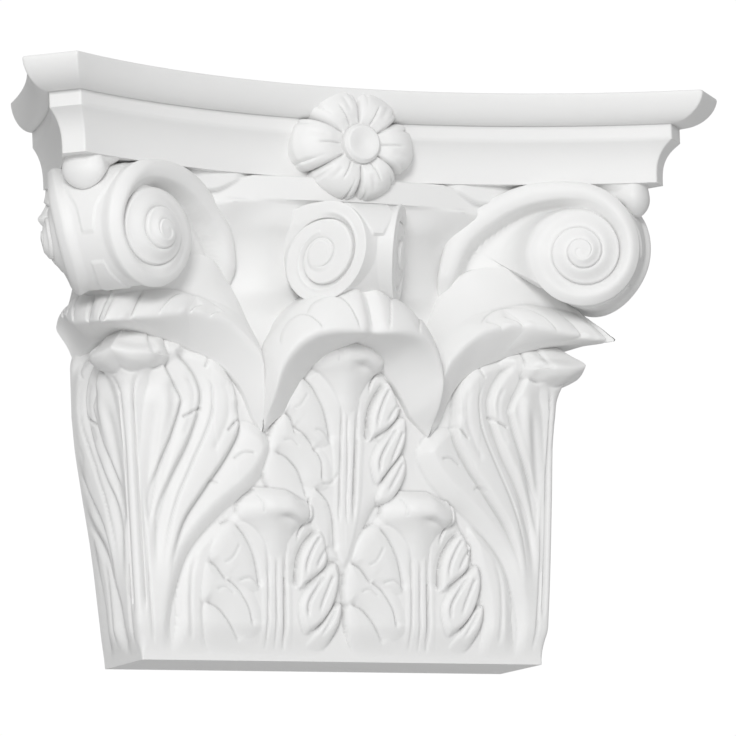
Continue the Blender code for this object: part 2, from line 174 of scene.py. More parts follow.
def nearest(line: Array, x: Array, z: Array, closed: bool = False) -> Places:
    """Find the nearest point on a line for each place.

    Args:
        line: The line's points.
        x: First coordinate of each place.
        z: Second coordinate of each place.
        closed: Whether the line returns to its first point.

    Returns:
        The distance, the share of the line's length and the side.
    """
    best = np.full(x.shape, 1e9)
    share = np.zeros(x.shape)
    side = np.zeros(x.shape)
    ends = np.vstack([line[1:], line[:1]]) if closed else line[1:]
    starts = line if closed else line[:-1]
    lengths = np.hypot(*(ends - starts).T)
    run = np.concatenate([[0.0], np.cumsum(lengths)])
    total = run[-1]
    for k, (a, b) in enumerate(zip(starts, ends)):
        dx, dz = b - a
        size = max(dx * dx + dz * dz, TINY**2)
        t = np.clip(((x - a[0]) * dx + (z - a[1]) * dz) / size, 0.0, 1.0)
        px = x - (a[0] + t * dx)
        pz = z - (a[1] + t * dz)
        dist = np.hypot(px, pz)
        closer = dist < best
        best = np.where(closer, dist, best)
        share = np.where(closer, (run[k] + t * lengths[k]) / total, share)
        side = np.where(closer, np.sign(dx * pz - dz * px), side)
    return best, share, side


def inside(line: Array, x: Array, z: Array) -> Array:
    """Tell which places lie within a closed line.

    Args:
        line: The line's points.
        x: First coordinate of each place.
        z: Second coordinate of each place.

    Returns:
        Whether each place is inside.
    """
    result = np.zeros(x.shape, bool)
    for a, b in zip(line, np.roll(line, -1, axis=0)):
        if a[1] == b[1]:
            continue
        crosses = (a[1] > z) != (b[1] > z)
        at = a[0] + (z - a[1]) * (b[0] - a[0]) / (b[1] - a[1])
        result ^= crosses & (x < at)
    return result


def lengths(line: Array) -> Array:
    """Length of a line up to each of its points."""
    return np.concatenate([[0.0], np.cumsum(np.linalg.norm(np.diff(line, axis=0), axis=1))])


def follow(points: Points | Line3, share: Array, steps: int) -> tuple[Array, ...]:
    """Find places along a smooth line.

    Args:
        points: Points on the line.
        share: Shares of its length, from 0 to 1.
        steps: Samples from each point to the next.

    Returns:
        Each coordinate of the places.
    """
    line = spline(points, steps)
    run = lengths(line)
    return tuple(np.interp(share * run[-1], run, column) for column in line.T)


def shares(count: int, first: int = 0) -> list[float]:
    """Even shares up to 1, from 0 or a later step."""
    return [step / count for step in range(first, count + 1)]


def between(first: Places, last: Places, share: Array) -> Places:
    """Places at a share of the way from some places to others."""
    return tuple(a + (b - a) * share for a, b in zip(first, last))


class Relief:
    """A height field over a drawing plane, built up stroke by stroke."""

    def __init__(self, x: Array, z: Array) -> None:
        """Start level, with a height at each place."""
        self.x = x
        self.z = z
        self.h = np.zeros(x.shape)

    def _near(self, line: Array, margin: float) -> tuple[Array, ...]:
        """Pick the part of the field around a line.

        Args:
            line: The line's points.
            margin: How far beyond the line's box to reach.

        Returns:
            The indices of the part.
        """
        low = line.min(axis=0) - margin
        high = line.max(axis=0) + margin
        wide = (self.x > low[0]) & (self.x < high[0])
        return np.nonzero(wide & (self.z > low[1]) & (self.z < high[1]))

    def _stroke(self, points: Points, margin: float, fade: Fade) -> tuple:
        """Measure the part of the field around a stroke.

        Args:
            points: Points on the stroke's line.
            margin: How far from the line the stroke reaches.
            fade: Shares of the line over which its ends fade in and out; a
                first share of 0 starts it at full strength.

        Returns:
            The part's indices, and its distance, side and strength.
        """
        line = spline(points)
        pick = self._near(line, margin)
        dist, share, side = nearest(line, self.x[pick], self.z[pick])
        least = 1e-3
        ends = smooth(share / max(fade[0], least)) * smooth((1.0 - share) / max(fade[1], least))
        ends = np.where((fade[0] <= 0.0) & (share < 0.5), 1.0, ends)
        return pick, dist, side, ends

    def pad(self, outline: Points, height: float, shoulder: float, power: float = 1.0,
            base: float = 0.0, blend: float = 0.8, bevel: bool = False) -> None:
        """Raise a plateau inside an outline.

        Args:
            outline: Points around it.
            height: Its height over the base.
            shoulder: Width of its rounded or bevelled edge.
            power: How hollow the rounded edge is.
            base: Height at which the edge starts.
            blend: Difference of heights over which it melts into the rest.
            bevel: Whether the edge is bevelled.
        """
        line = spline(outline, 8, closed=True)
        pick = self._near(line, 1.0)
        x, z = self.x[pick], self.z[pick]
        dist, _, _ = nearest(line, x, z, closed=True)
        dist = np.where(inside(line, x, z), dist, -dist)
        share = np.clip((dist + 0.4) / shoulder, 0.0, 1.0)
        edge = 1.0 - (1.0 - share) ** 1.5 if bevel else dome(share) ** power
        top = base + height * edge
        old = self.h[pick]
        gap = np.clip((top - old) / blend, -1.0, 1.0)
        melted = (gap + 1.0) ** 2 * blend / 4.0
        soft = np.where(np.abs(gap) < 1.0, melted, np.maximum(top - old, 0.0))
        self.h[pick] = np.where(dist > -0.9, old + soft, old)

    def cut(self, points: Points, depth: float, width: float, fade: Fade = FADE) -> None:
        """Sink a round groove along a line.

        Args:
            points: Points on the line.
            depth: Depth of the groove.
            width: Half its width.
            fade: Shares of the line over which its ends fade.
        """
        pick, dist, _, ends = self._stroke(points, width * 2.2, fade)
        self.h[pick] -= depth * bump(dist, 0.0, width) * ends

    def step(self, points: Points, depth: float, reach: float, sharp: float = 0.5,
             fade: Fade = FADE) -> None:
        """Dip gently toward a line from its left and stop sharply on it.

        Args:
            points: Points on the line.
            depth: Depth at the line.
            reach: How far the gentle side spreads.
            sharp: How far the sharp side spreads.
            fade: Shares of the line over which its ends fade.
        """
        pick, dist, side, ends = self._stroke(points, reach * 2.5, fade)
        left = np.exp(-dist / reach)
        right = bump(dist, 0.0, sharp)
        self.h[pick] -= depth * ends * np.where(side > 0, left, right)

    def rib(self, points: Points, height: float, width: float, fade: Fade = (0.2, 0.2)) -> None:
        """Raise a rounded rib along a line.

        Args:
            points: Points on the line.
            height: Height of the rib.
            width: Half its width.
            fade: Shares of the line over which its ends fade.
        """
        pick, dist, _, ends = self._stroke(points, width * 1.5, fade)
        profile = np.maximum(1.0 - (dist / width) ** 2, 0.0) ** 1.5
        self.h[pick] += height * profile * ends

    def hood(self, across: Array, width: Array, rise: Array, base: float, square: Array) -> None:
        """Raise the tip of a leaf that turns over.

        Args:
            across: Distance from the tip's middle line.
            width: Half the tip's width at each place.
            rise: Its height over the base at each place.
            base: Height at which it starts.
            square: How far it is from flat-topped at each place.
        """
        bulge = np.maximum(1.0 - (across / width) ** 2, 0.0) ** square
        top = base + rise * bulge
        self.h = np.where((rise > 0.01) & (bulge > 0.0), np.maximum(self.h, top), self.h)


# ---------------------------------------------------------------- finish


@dataclass(frozen=True)
class Finish:
    """A sprayed surface.

    Attributes:
        name: Name of its material.
        colour: Its clean, level colour.
        roughness: Middle of its range of roughness.
        mottle: How much darker the broad mottle goes.
        grain: Strength of the fine grain.
        hollow: How much darker the deepest folds are painted, standing in for their shade.
        mottle_scale: Patches of mottle in a metre.
        grain_scale: Grains in a metre.
        grain_depth: Depth of the grain in metres.
        gloss: Strength of its reflections.
    """

    name: str
    colour: tuple[float, float, float]
    roughness: float
    mottle: float
    grain: float
    hollow: float
    mottle_scale: float = 14.0
    grain_scale: float = 900.0
    grain_depth: float = 0.0004
    gloss: float = 0.35


# The last value is how dark the painted shade in the folds gets.
PRIMER = Finish("white_primer_finish", (0.875, 0.875, 0.87), 0.5, 0.012, 0.035, 0.27)


class Wiring:
    """A short way to add nodes to a tree and join them."""

    def __init__(self, tree: bpy.types.NodeTree) -> None:
        """Keep the tree's nodes and links."""
        self.nodes = tree.nodes
        self.links = tree.links

    def fill(self, node: bpy.types.Node, inputs: dict) -> None:
        """Set or join a node's inputs.

        Args:
            node: The node.
            inputs: A value or another node's output for each input.
        """
        for name, value in inputs.items():
            if isinstance(value, bpy.types.NodeSocket):
                self.links.new(value, node.inputs[name])
            else:
                node.inputs[name].default_value = value

    def add(self, kind: str, inputs: dict | None = None, **options: str) -> bpy.types.NodeOutputs:
        """Add a node.

        Args:
            kind: Its type.
            inputs: A value or another node's output for each input.
            options: Its own settings.

        Returns:
            Its outputs.
        """
        node = self.nodes.new(kind)
        for option, value in options.items():
            setattr(node, option, value)
        self.fill(node, inputs or {})
        return node.outputs

    def spread(self, value: bpy.types.NodeSocket, low: float, high: float) -> bpy.types.NodeSocket:
        """Spread the middle of a noise over a range of values.

        Args:
            value: The noise.
            low: Value at its low end.
            high: Value at its high end.

        Returns:
            The value.
        """
        limits = {"From Min": 0.3, "From Max": 0.7, "To Min": low, "To Max": high}
        return self.add("ShaderNodeMapRange", {**limits, "Value": value})["Result"]

    def multiply(self, a: object, b: bpy.types.NodeSocket) -> bpy.types.NodeSocket:
        """Multiply two colours.

        Args:
            a: A colour or a node's output.
            b: A node's output.

        Returns:
            The product.
        """
        inputs = {"Factor": 1.0, "A": a, "B": b}
        return self.add("ShaderNodeMix", inputs, data_type="RGBA", blend_type="MULTIPLY")["Result"]


def paint(finish: Finish) -> bpy.types.Material:
    """Make the sprayed primer: faint mottle, soft sheen, fine grain and painted shade in the folds.

    Args:
        finish: What it is like.

    Returns:
        The material.
    """
    material = bpy.data.materials.new(finish.name)
    material.use_nodes = True
    wiring = Wiring(material.node_tree)
    where = wiring.add("ShaderNodeTexCoord")["Object"]
    broad = wiring.add("ShaderNodeTexNoise",
                       {"Scale": finish.mottle_scale, "Detail": 3.0, "Vector": where})["Fac"]
    tone = wiring.spread(broad, 1.0 - finish.mottle, 1.0)
    # Painted shade: the base colour darkens where the stored fold mark is high.
    fold = wiring.add("ShaderNodeAttribute", attribute_name="hollow")["Fac"]
    depth = wiring.add("ShaderNodeMapRange",
                       {"To Min": 1.0, "To Max": 1.0 - finish.hollow, "Value": fold})["Result"]
    fine = wiring.add("ShaderNodeTexNoise",
                      {"Scale": finish.grain_scale, "Detail": 2.0, "Vector": where})["Fac"]
    grain = wiring.add("ShaderNodeBump", {"Strength": finish.grain, "Distance": finish.grain_depth,
                                          "Height": fine})["Normal"]
    # Base colour: clean colour times random mottle times the painted fold shade.
    wiring.fill(wiring.nodes["Principled BSDF"], {
        "Base Color": wiring.multiply(wiring.multiply((*finish.colour, 1.0), tone), depth),
        "Roughness": wiring.spread(broad, finish.roughness - 0.04, finish.roughness + 0.05),
        "Normal": grain,
        "Specular IOR Level": finish.gloss,
    })
    return material


# ---------------------------------------------------------------- meshes


def grid(across: int, along: int) -> tuple[bmesh.types.BMesh, Array, Array]:
    """Make a flat grid.

    Args:
        across: Its faces one way.
        along: Its faces the other way.

    Returns:
        The grid, and each vertex's place on it both ways, from 0 to 1.
    """
    bm = bmesh.new()
    bmesh.ops.create_grid(bm, x_segments=across, y_segments=along, size=1.0)
    co = np.array([v.co[:] for v in bm.verts])
    return bm, (co[:, 0] + 1.0) / 2.0, (co[:, 1] + 1.0) / 2.0


def shape(bm: bmesh.types.BMesh, x: Array, y: Array, z: Array) -> None:
    """Move every vertex of a grid to its place on a surface."""
    for vert, place in zip(bm.verts, np.column_stack([x, y, z])):
        vert.co = place


def gather(parts: Sequence[bmesh.types.BMesh], weld: float) -> bmesh.types.BMesh:
    """Join parts into one mesh.

    Args:
        parts: The parts, which are freed.
        weld: Distance within which their vertices merge.

    Returns:
        The whole.
    """
    whole = bmesh.new()
    for part in parts:
        mesh = bpy.data.meshes.new("part")
        part.to_mesh(mesh)
        part.free()
        whole.from_mesh(mesh)
        bpy.data.meshes.remove(mesh)
    bmesh.ops.remove_doubles(whole, verts=whole.verts, dist=weld)
    return whole


def close_rims(bm: bmesh.types.BMesh) -> None:
    """Fill every open rim."""
    rims = [e for e in bm.edges if e.is_boundary]
    if rims:
        bmesh.ops.holes_fill(bm, edges=rims, sides=0)


def cut_at_wall(bm: bmesh.types.BMesh, inset: float) -> None:
    """Trim a solid just in front of the wall plane, and cap the cut.

    Args:
        bm: The solid.
        inset: How far in front, so that no two pieces share a plane there.
    """
    geometry = [*bm.verts, *bm.edges, *bm.faces]
    done = bmesh.ops.bisect_plane(bm, geom=geometry, dist=1e-5, plane_co=(0, -inset, 0),
                                  plane_no=(0, 1, 0), clear_outer=True)
    edges = [g for g in done["geom_cut"] if isinstance(g, bmesh.types.BMEdge)]
    bmesh.ops.holes_fill(bm, edges=edges, sides=0)


@dataclass(frozen=True)
class Sizes:
    """Sizes that several pieces share, in millimetres."""

    half_width: float = 110.0
    depth: float = 45.0
    height: float = 282.0
    lean: float = 0.07
    lean_top: float = 125.0
    waist: float = 6.5
    waist_span: tuple[float, float] = (148.0, 178.0)
    flare_from: float = 188.0
    flare_short: float = 9.0
    lip_level: float = 224.6
    lip_depth: float = 73.5

    @property
    def diagonal(self) -> float:
        """The corner's diagonal plane is x + y = this."""
        return self.half_width - self.depth

    def bell(self, z: Array) -> Array:
        """Find the depth of the bell's face from the wall.

        Args:
            z: Heights above the underside.

        Returns:
            The depth at each height, without the rim.
        """
        face = self.depth + self.lean * np.minimum(z, self.lean_top)
        waist = face - self.waist * ramp(z, *self.waist_span)
        rise = np.clip((z - self.flare_from) / (self.lip_level - self.flare_from), 0.0, 1.0)
        flare = 1.0 - np.cos(rise * math.pi / 2)
        return waist + (self.lip_depth - self.flare_short - waist) * flare


SIZES = Sizes()


def across_diagonal(x: Array, y: Array, z: Array) -> Places:
    """Mirror places across the right corner's diagonal plane."""
    return SIZES.diagonal - y, SIZES.diagonal - x, z


def across_middle(x: Array, y: Array, z: Array) -> Places:
    """Mirror places across the middle of the front."""
    return -x, y, z


def on_side(place: Place, side: Side) -> Place:
    """Fit a placing made for the right to either side.

    Args:
        place: Places points on the right.
        side: The side wanted.

    Returns:
        The same placing on that side.
    """

    def placed(a: Array, b: Array, c: Array) -> Places:
        """Place on the right, then move to the side."""
        x, y, z = place(a, b, c)
        return side.value * x, y, z

    return placed


def mirror_on_side(mirror: Place, side: Side) -> Place:
    """Fit a mirror made for the right corner to either side.

    Args:
        mirror: Mirrors places on the right.
        side: The side wanted.

    Returns:
        The same mirror on that side.
    """
    turned = on_side(mirror, side)

    def mirrored(x: Array, y: Array, z: Array) -> Places:
        """Move from the side to the right, mirror and move back."""
        return turned(side.value * x, y, z)

    return mirrored


@dataclass(frozen=True)
class FoldShade:
    """How folds are found, for the finish to darken them with painted shade.

    Attributes:
        start: Bend of a surface at which a fold starts to count.
        span: Further bend at which it counts in full.
    """

    start: float = 0.025
    span: float = 0.16

    def mark(self, mesh: bpy.types.Mesh, sweeps: int) -> None:
        """Store how far each vertex lies in a fold, for the painted shade there.

        Args:
            mesh: The mesh.
            sweeps: Times that each vertex is evened out with those around it.
        """
        count = len(mesh.vertices)
        place = self.vectors(mesh.vertices, "co")
        normal = self.vectors(mesh.vertex_normals, "vector")
        ends = np.empty(len(mesh.edges) * 2, dtype=np.int64)
        mesh.edges.foreach_get("vertices", ends)
        a, b = ends.reshape(-1, 2).T
        links = np.maximum(np.bincount(a, minlength=count) + np.bincount(b, minlength=count), 1)
        run = place[b] - place[a]
        length = np.maximum(np.linalg.norm(run, axis=1), TINY)
        bend_a = np.einsum("ij,ij->i", normal[a], run) / length
        bend_b = -np.einsum("ij,ij->i", normal[b], run) / length
        fold = (np.bincount(a, bend_a, count) + np.bincount(b, bend_b, count)) / links
        for _ in range(sweeps):
            around = (np.bincount(a, fold[b], count) + np.bincount(b, fold[a], count)) / links
            fold = 0.5 * fold + 0.5 * around
        hollow = np.clip((fold - self.start) / self.span, 0.0, 1.0)
        # Kept as a vertex attribute that the material reads to paint shade into the folds.
        store = mesh.attributes.new("hollow", "FLOAT", "POINT")
        store.data.foreach_set("value", hollow.astype(np.float32))

    def vectors(self, items: bpy.types.bpy_prop_collection, name: str) -> Array:
        """Read one vector from each item, as rows."""
        flat = np.empty(len(items) * 3)
        items.foreach_get(name, flat)
        return flat.reshape(-1, 3)


def add_object(name: str, data: bpy.types.ID) -> bpy.types.Object:
    """Add an object to the scene, at the origin."""
    thing = bpy.data.objects.new(name, data)
    bpy.context.scene.collection.objects.link(thing)
    return thing


def finish_mesh(name: str, bm: bmesh.types.BMesh, sharp: float,
                sweeps: int = 2) -> bpy.types.Object:
    """Turn a finished form in millimetres into an object.

    Args:
        name: The piece's name.
        bm: The form, which is freed.
        sharp: Angle in degrees past which an edge stays sharp.
        sweeps: How far the painted shade of its folds spreads.

    Returns:
        The piece, in metres on the frame.
    """
    bmesh.ops.remove_doubles(bm, verts=bm.verts, dist=WELD)
    bmesh.ops.dissolve_degenerate(bm, edges=bm.edges, dist=WELD / 2)
    bmesh.ops.recalc_face_normals(bm, faces=bm.faces)
    onto_frame = Matrix.Scale(MM, 4) @ Matrix.Translation((0.0, SIZES.depth / 2.0, 0.0))
    bmesh.ops.transform(bm, matrix=onto_frame, verts=bm.verts)
    mesh = bpy.data.meshes.new(name)
    bm.to_mesh(mesh)
    bm.free()
    # Mark the folds, which the material darkens as painted shade.
    FoldShade().mark(mesh, sweeps)
    mesh.shade_smooth()
    mesh.set_sharp_from_angle(angle=math.radians(sharp))
    return add_object(name, mesh)


# ---------------------------------------------------------------- bell and leaves


@dataclass(frozen=True)
class Tip:
    """The tip of an upright leaf, turned over toward the front.

    Attributes:
        middle: Where its middle line is.
        width: Half its width at each height.
        square: How far it is from flat-topped at each height.
        soft: Its rise at each height, on its left.
        crisp: Its rise at each height, on its right, where its edge is sharper.
        droop: How much lower the right end of its edge hangs.
        droop_from: Where the droop starts.
        low: How much lower its left part stands, as a share.
        low_span: Width over which that comes.
        low_from: Height from which it does.
        low_rise: Height over which that comes.
    """

    middle: float
    width: Points
    square: Points
    soft: Points
    crisp: Points
    droop: float
    droop_from: float
    low: float
    low_span: float
    low_from: float
    low_rise: float

    def carve(self, r: Relief) -> None:
        """Raise the tip.

        Args:
            r: The relief.
        """
        across = r.x - self.middle
        sunk = r.z + self.droop * ramp(across, self.droop_from, self.droop_from + 14.0)
        soft = read(self.soft, sunk)
        rise = soft + (read(self.crisp, sunk) - soft) * ramp(across, -4.0, 6.0)
        left = smooth((-across - 3.0) / self.low_span)
        rise = rise * (1.0 - self.low * left * smooth((r.z - self.low_from) / self.low_rise))
        r.hood(across, read(self.width, r.z), rise, 2.2, read(self.square, r.z))


@dataclass
class Bell:
    """The bell with its ring of leaves, drawn as relief on front and return."""

    columns_front: int = 186
    columns_return: int = 52
    rows_leaf: int = 270
    rows_upper: int = 104
    leaf_top: float = 168.0
    top: float = 246.0
    small_leaf_at: float = 39.5
    lip_top: float = 237.5
    lip_drop: float = 9.0
    lip_fall: float = 7.5
    lip_least: float = 58.0
    swell: float = 6.5
    flare: float = 5.2
    hidden: float = 215.0
    edge_radius: float = 359.6
    edge_centre: float = 423.4

    def small_leaf(self, r: Relief, middle: float) -> None:
        """Carve one of the two low leaves.

        Args:
            r: The relief.
            middle: Where the leaf's middle line is.
        """

        def at(points: Points) -> Points:
            """Move points from the middle of the front to the leaf."""
            return [(x + middle, z) for x, z in points]

        r.pad(at([(-28, -6), (-37, 10), (-40, 25), (-39.5, 38), (-37, 48), (-32, 59), (-26, 67),
                  (-16, 76), (0, 79), (16, 77), (23, 68), (28, 58), (31, 46), (31, 30),
                  (28, 17), (22, -6), (0, -8)]), 3.4, 7.5, power=1.2)
        left = [
            ([(-9, 36), (-11.5, 50), (-16.5, 60), (-22, 66.5), (-28, 66), (-34, 59), (-37, 49),
              (-33, 46), (-28, 41), (-23, 37), (-15, 34)], 2.9),
            ([(-9, 24), (-13, 33), (-21, 38), (-28, 41), (-33, 46), (-38.5, 48), (-41, 38),
              (-41, 29), (-35, 27), (-29, 23), (-23, 15), (-15, 11), (-9, 14)], 2.7),
            ([(-12, 4), (-19, 13), (-25, 20), (-31, 26), (-38.5, 28.5), (-40, 20), (-37, 9),
              (-28, 0), (-18, -3)], 2.3),
        ]
        for outline, height in left:
            r.pad(at(outline), height, 7.5, base=2.1, blend=1.2)
        right = [
            ([(11, 36), (12.5, 50), (17, 58), (22, 64), (25.5, 62), (27, 57.5), (28.5, 58),
            (28.5, 50), (26, 45), (20, 41), (15, 36)], 4.2),
            ([(13, 18), (12, 27), (16, 35), (23, 41), (28, 46), (32, 48), (34.5, 44), (34, 36),
            (31, 27), (26, 20), (20, 15), (16, 13)], 4.4),
            ([(17, 8), (24, 17), (30, 25), (35.5, 28), (34.5, 19), (28, 8), (21, 5)], 3.6),
        ]
        for outline, height in right:
            r.pad(at(outline), height, 3.6, base=1.6, blend=0.5)
        r.pad(at([(-9, -6), (-8.5, 20), (-8.5, 36), (-11, 50), (-16, 60), (-21, 67), (0, 72),
                  (21, 67), (15, 59), (10.5, 50), (9.3, 38), (9.3, 20), (10, -6),
                  (0, -8)]), 3.7, 2.5)
        for x in (-4.2, 0.3):
            r.cut(at([(x * 1.15, 6), (x, 30), (x, 60)]), 1.1, 0.62, (0.0, 0.25))
        r.cut(at([(4.9, 6), (4.8, 30), (4.8, 50), (5.2, 60), (7.5, 65), (12, 68.3), (19, 70.3)]),
              2.4, 0.85, (0.0, 0.12))
        r.cut(at([(-4.4, 40), (-5, 58), (-7, 64), (-12, 67), (-19, 69)]), 0.5, 1.2)
        r.step(at([(-23, 67), (-17, 60.5), (-12, 50), (-9.2, 35)]), 1.9, 3, 0.5)
        r.step(at([(23.5, 65), (17, 59.5), (12, 50), (10.6, 35)][::-1]), 3, 2.6, 0.55)
        r.step(at([(-38, 48.5), (-33, 46), (-29, 41), (-27, 38.5)]), 1.6, 2.6, 0.5)
        r.step(at([(-28, 40), (-22, 36), (-17.5, 30), (-14.5, 24), (-13, 16)]), 1.8, 3, 0.5)
        r.step(at([(-39, 28.5), (-32, 25.5), (-26, 19), (-19, 8)]), 1.7, 3, 0.5)
        r.cut(at([(-21, 38.5), (-14, 40), (-8, 35)]), 0.7, 0.7)
        r.cut(at([(-29, 47), (-24, 50), (-20, 57)]), 0.5, 0.7)
        r.cut(at([(-33, 34), (-28, 35.5), (-23, 32)]), 0.5, 0.7)
        r.cut(at([(15.5, 41), (16.5, 48), (20, 56), (23.5, 61)]), 1.3, 0.8, (0.3, 0.05))
        r.cut(at([(20.5, 44), (24, 51), (27.5, 56)]), 1.1, 0.8, (0.4, 0.05))
        r.cut(at([(16.5, 20), (17, 28), (21, 35), (27, 43)]), 1.5, 0.8, (0.2, 0.1))
        r.cut(at([(22, 22), (25.5, 31), (30.5, 42)]), 1.2, 0.8, (0.35, 0.05))
        r.cut(at([(24, 11), (29, 19), (33, 26)]), 1.1, 0.8, (0.3, 0.1))
        r.step(at([(26.5, 57.5), (27.5, 50), (25.5, 45), (20, 40), (13.5, 37)]), 1.6, 2.4, 0.5)
        r.step(at([(31.5, 48), (34, 40), (31, 28), (26, 20), (19, 14)]), 1.4, 2.4, 0.5)
        Tip(
            middle=middle,
            width=((36, 4.5), (46, 5.5), (54, 7.2), (60, 9.5), (64, 12.5), (67, 16.5), (69.5, 20),
                   (72, 21), (76, 20.5), (80, 17), (84, 11)),
            square=((36, 1.1), (64, 0.95), (70, 0.62), (84, 0.7)),
            soft=((34, 0), (46, 0.9), (54, 2.2), (60, 3.8), (64, 5.2), (67, 6.6), (69.5, 8.2),
                  (71.5, 9.8), (74, 10.6), (77, 10), (80, 8), (82.5, 4.8), (85, 0)),
            crisp=((34, 0), (46, 0.9), (54, 2.2), (60, 3.4), (64, 4.6), (67, 5.8), (70.2, 6.6),
                   (71.4, 10.2), (74, 11.4), (77, 10.6), (80, 8.4), (82.5, 4.8), (85, 0)),
            droop=4.5, droop_from=3.0, low=0.42, low_span=16.0, low_from=62.0, low_rise=6.0,
        ).carve(r)
        r.cut(at([(-12, 82), (-9.8, 77), (-9.2, 71)]), 0.7, 0.6, (0.2, 0.1))
        r.cut(at([(18.5, 82), (17.5, 77), (16.5, 70), (13, 64), (11, 58)]), 1.5, 0.6, (0.2, 0.2))

    def middle_leaf(self, r: Relief) -> None:
        """Carve the tall leaf at the middle of the front.

        Args:
            r: The relief.
        """
        r.pad([(-5, 44), (-12, 56), (-19, 74), (-34, 79), (-44, 88), (-45, 103), (-40, 113),
               (-34, 124), (-27, 140), (-18, 150), (0, 156), (18, 150), (24, 140), (28, 127),
               (30, 112), (29, 98), (24, 84), (15, 76), (8, 62), (3, 46)], 3.6, 7.5, power=1.2)
        left = [
            ([(-10, 108), (-12.5, 122), (-17, 131), (-22, 138), (-26, 142), (-32, 132), (-36, 122),
              (-31, 119), (-28, 113), (-23, 110), (-16, 106)], 3),
            ([(-10, 97), (-15, 105), (-22, 110), (-28, 114), (-34, 121), (-40, 114), (-43, 104),
              (-39, 101), (-34, 99), (-28, 94), (-24, 87), (-16, 84), (-10, 87)], 2.8),
            ([(-10, 78), (-16, 84), (-24, 87), (-28, 94), (-34, 100), (-42, 104), (-45, 96),
              (-43, 87), (-34, 80), (-24, 76), (-14, 74)], 2.4),
        ]
        for outline, height in left:
            r.pad(outline, height, 7.5, base=2.3, blend=1.2)
        right = [
            ([(11, 109), (12.5, 122), (16, 131), (22, 138.5), (26, 133), (28, 127), (29.5, 126),
              (27.5, 120), (22, 115), (15, 111)], 4.4),
            ([(14, 90), (12.5, 99), (16, 107), (22, 113), (27, 120), (32, 120), (32, 110),
              (29, 102), (23, 95), (17, 88)], 4.6),
            ([(16, 84), (20, 91), (25, 98), (31, 102.5), (32, 94), (28, 85), (22, 79),
              (16, 79)], 4),
        ]
        for outline, height in right:
            r.pad(outline, height, 3.6, base=1.8, blend=0.5)
        r.pad([(-5, 50), (-9, 58), (-9, 70), (-12, 79), (-18, 86), (-23, 80), (-20, 66),
              (-13, 52)], 2.6, 4, base=1.6)
        r.pad([(-7, 56), (-8.5, 80), (-9, 100), (-11, 118), (-16, 131), (-22, 140), (0, 148),
               (20, 140), (14, 130), (11, 118), (9.3, 100), (8, 80), (4, 60), (-2, 46)], 4.1, 3)
        r.cut([(-5, 66), (-4, 100), (-3.2, 125), (-5, 138), (-12, 144)], 1.1, 0.65)
        r.cut([(-0.8, 66), (0.1, 105), (0.5, 134)], 1, 0.62)
        r.cut([(2.6, 66), (4.3, 100), (5.3, 122), (5.6, 134), (8.5, 140.5), (14, 144), (20, 146.6)],
              2.5, 0.85, (0.2, 0.12))
        r.step([(-26, 141), (-20, 136.5), (-15, 128), (-12, 120), (-9.5, 107)], 2.2, 3, 0.5)
        r.step([(10.8, 108), (12, 122), (15.5, 130.5), (22, 138.5)], 3.2, 2.6, 0.55)
        r.step([(-35, 122), (-31, 119), (-29, 111)], 1.8, 2.6, 0.5)
        r.step([(-30, 116), (-24, 111.5), (-20, 106.5), (-18.5, 102)], 1.8, 2.8, 0.5)
        r.step([(-19.5, 105), (-16, 101), (-14.4, 96), (-14.6, 88)], 1.9, 2.6, 0.5)
        r.step([(-41, 102.5), (-34, 100), (-28, 94), (-25, 87), (-23, 79)], 1.7, 3, 0.5)
        r.step([(-19, 86), (-11.5, 79), (-8.4, 70), (-7.5, 54)], 1.8, 2.4, 0.5)
        r.cut([(-19, 114), (-13, 112.5), (-9, 106)], 0.7, 0.7)
        r.cut([(-15, 87), (-9, 88), (-5, 93)], 0.7, 0.7)
        r.cut([(-30, 124), (-26, 126), (-22, 132)], 0.5, 0.7)
        r.cut([(-36, 108), (-31, 108.5), (-27, 105)], 0.5, 0.7)
        r.cut([(15.5, 114), (16.5, 121), (19.5, 129), (23, 135)], 1.4, 0.8, (0.3, 0.05))
        r.cut([(20.5, 117), (24, 123), (27.5, 127)], 1.1, 0.8, (0.4, 0.05))
        r.cut([(16.5, 92), (17.5, 100), (21, 107), (27, 116)], 1.5, 0.8, (0.2, 0.1))
        r.cut([(22, 96), (25.5, 104), (30, 114)], 1.2, 0.8, (0.35, 0.05))
        r.cut([(21, 83), (26, 91), (30.5, 99)], 1.2, 0.8, (0.3, 0.1))
        r.step([(27, 126), (27.5, 121), (22, 115.5), (14, 110.5)], 1.6, 2.4, 0.5)
        r.step([(32, 118), (32, 110), (28.5, 102), (23, 95), (17, 88)], 1.4, 2.4, 0.5)
        Tip(
            middle=0.5,
            width=((108, 4.8), (118, 5.8), (126, 7.2), (133, 9.5), (138, 12.5), (142, 16.5),
                   (145, 20), (148, 21.5), (152, 21.5), (158, 18), (163, 12)),
            square=((108, 1.1), (138, 0.95), (145, 0.62), (163, 0.7)),
            soft=((106, 0), (118, 1.2), (126, 2.8), (133, 5), (138, 7.4), (142, 9.6),
                  (145, 12), (148, 14.2), (151, 15.2), (154, 14.6), (158, 11.6), (161, 6.8),
                  (164.5, 0)),
            crisp=((106, 0), (118, 1.2), (126, 2.8), (133, 4.6), (138, 6.6), (142, 8.4),
                   (146, 9.6), (147.4, 14.2), (151, 16), (154, 15.2), (158, 11.8), (161, 6.8),
                   (164.5, 0)),
            droop=5.0, droop_from=4.0, low=0.38, low_span=17.0, low_from=135.0, low_rise=8.0,
        ).carve(r)
        r.cut([(-10, 159), (-8, 153), (-8.5, 146)], 0.7, 0.6, (0.2, 0.1))
        r.cut([(19, 158), (19.5, 152), (18, 145), (14, 139), (12, 132)], 1.6, 0.6, (0.2, 0.2))

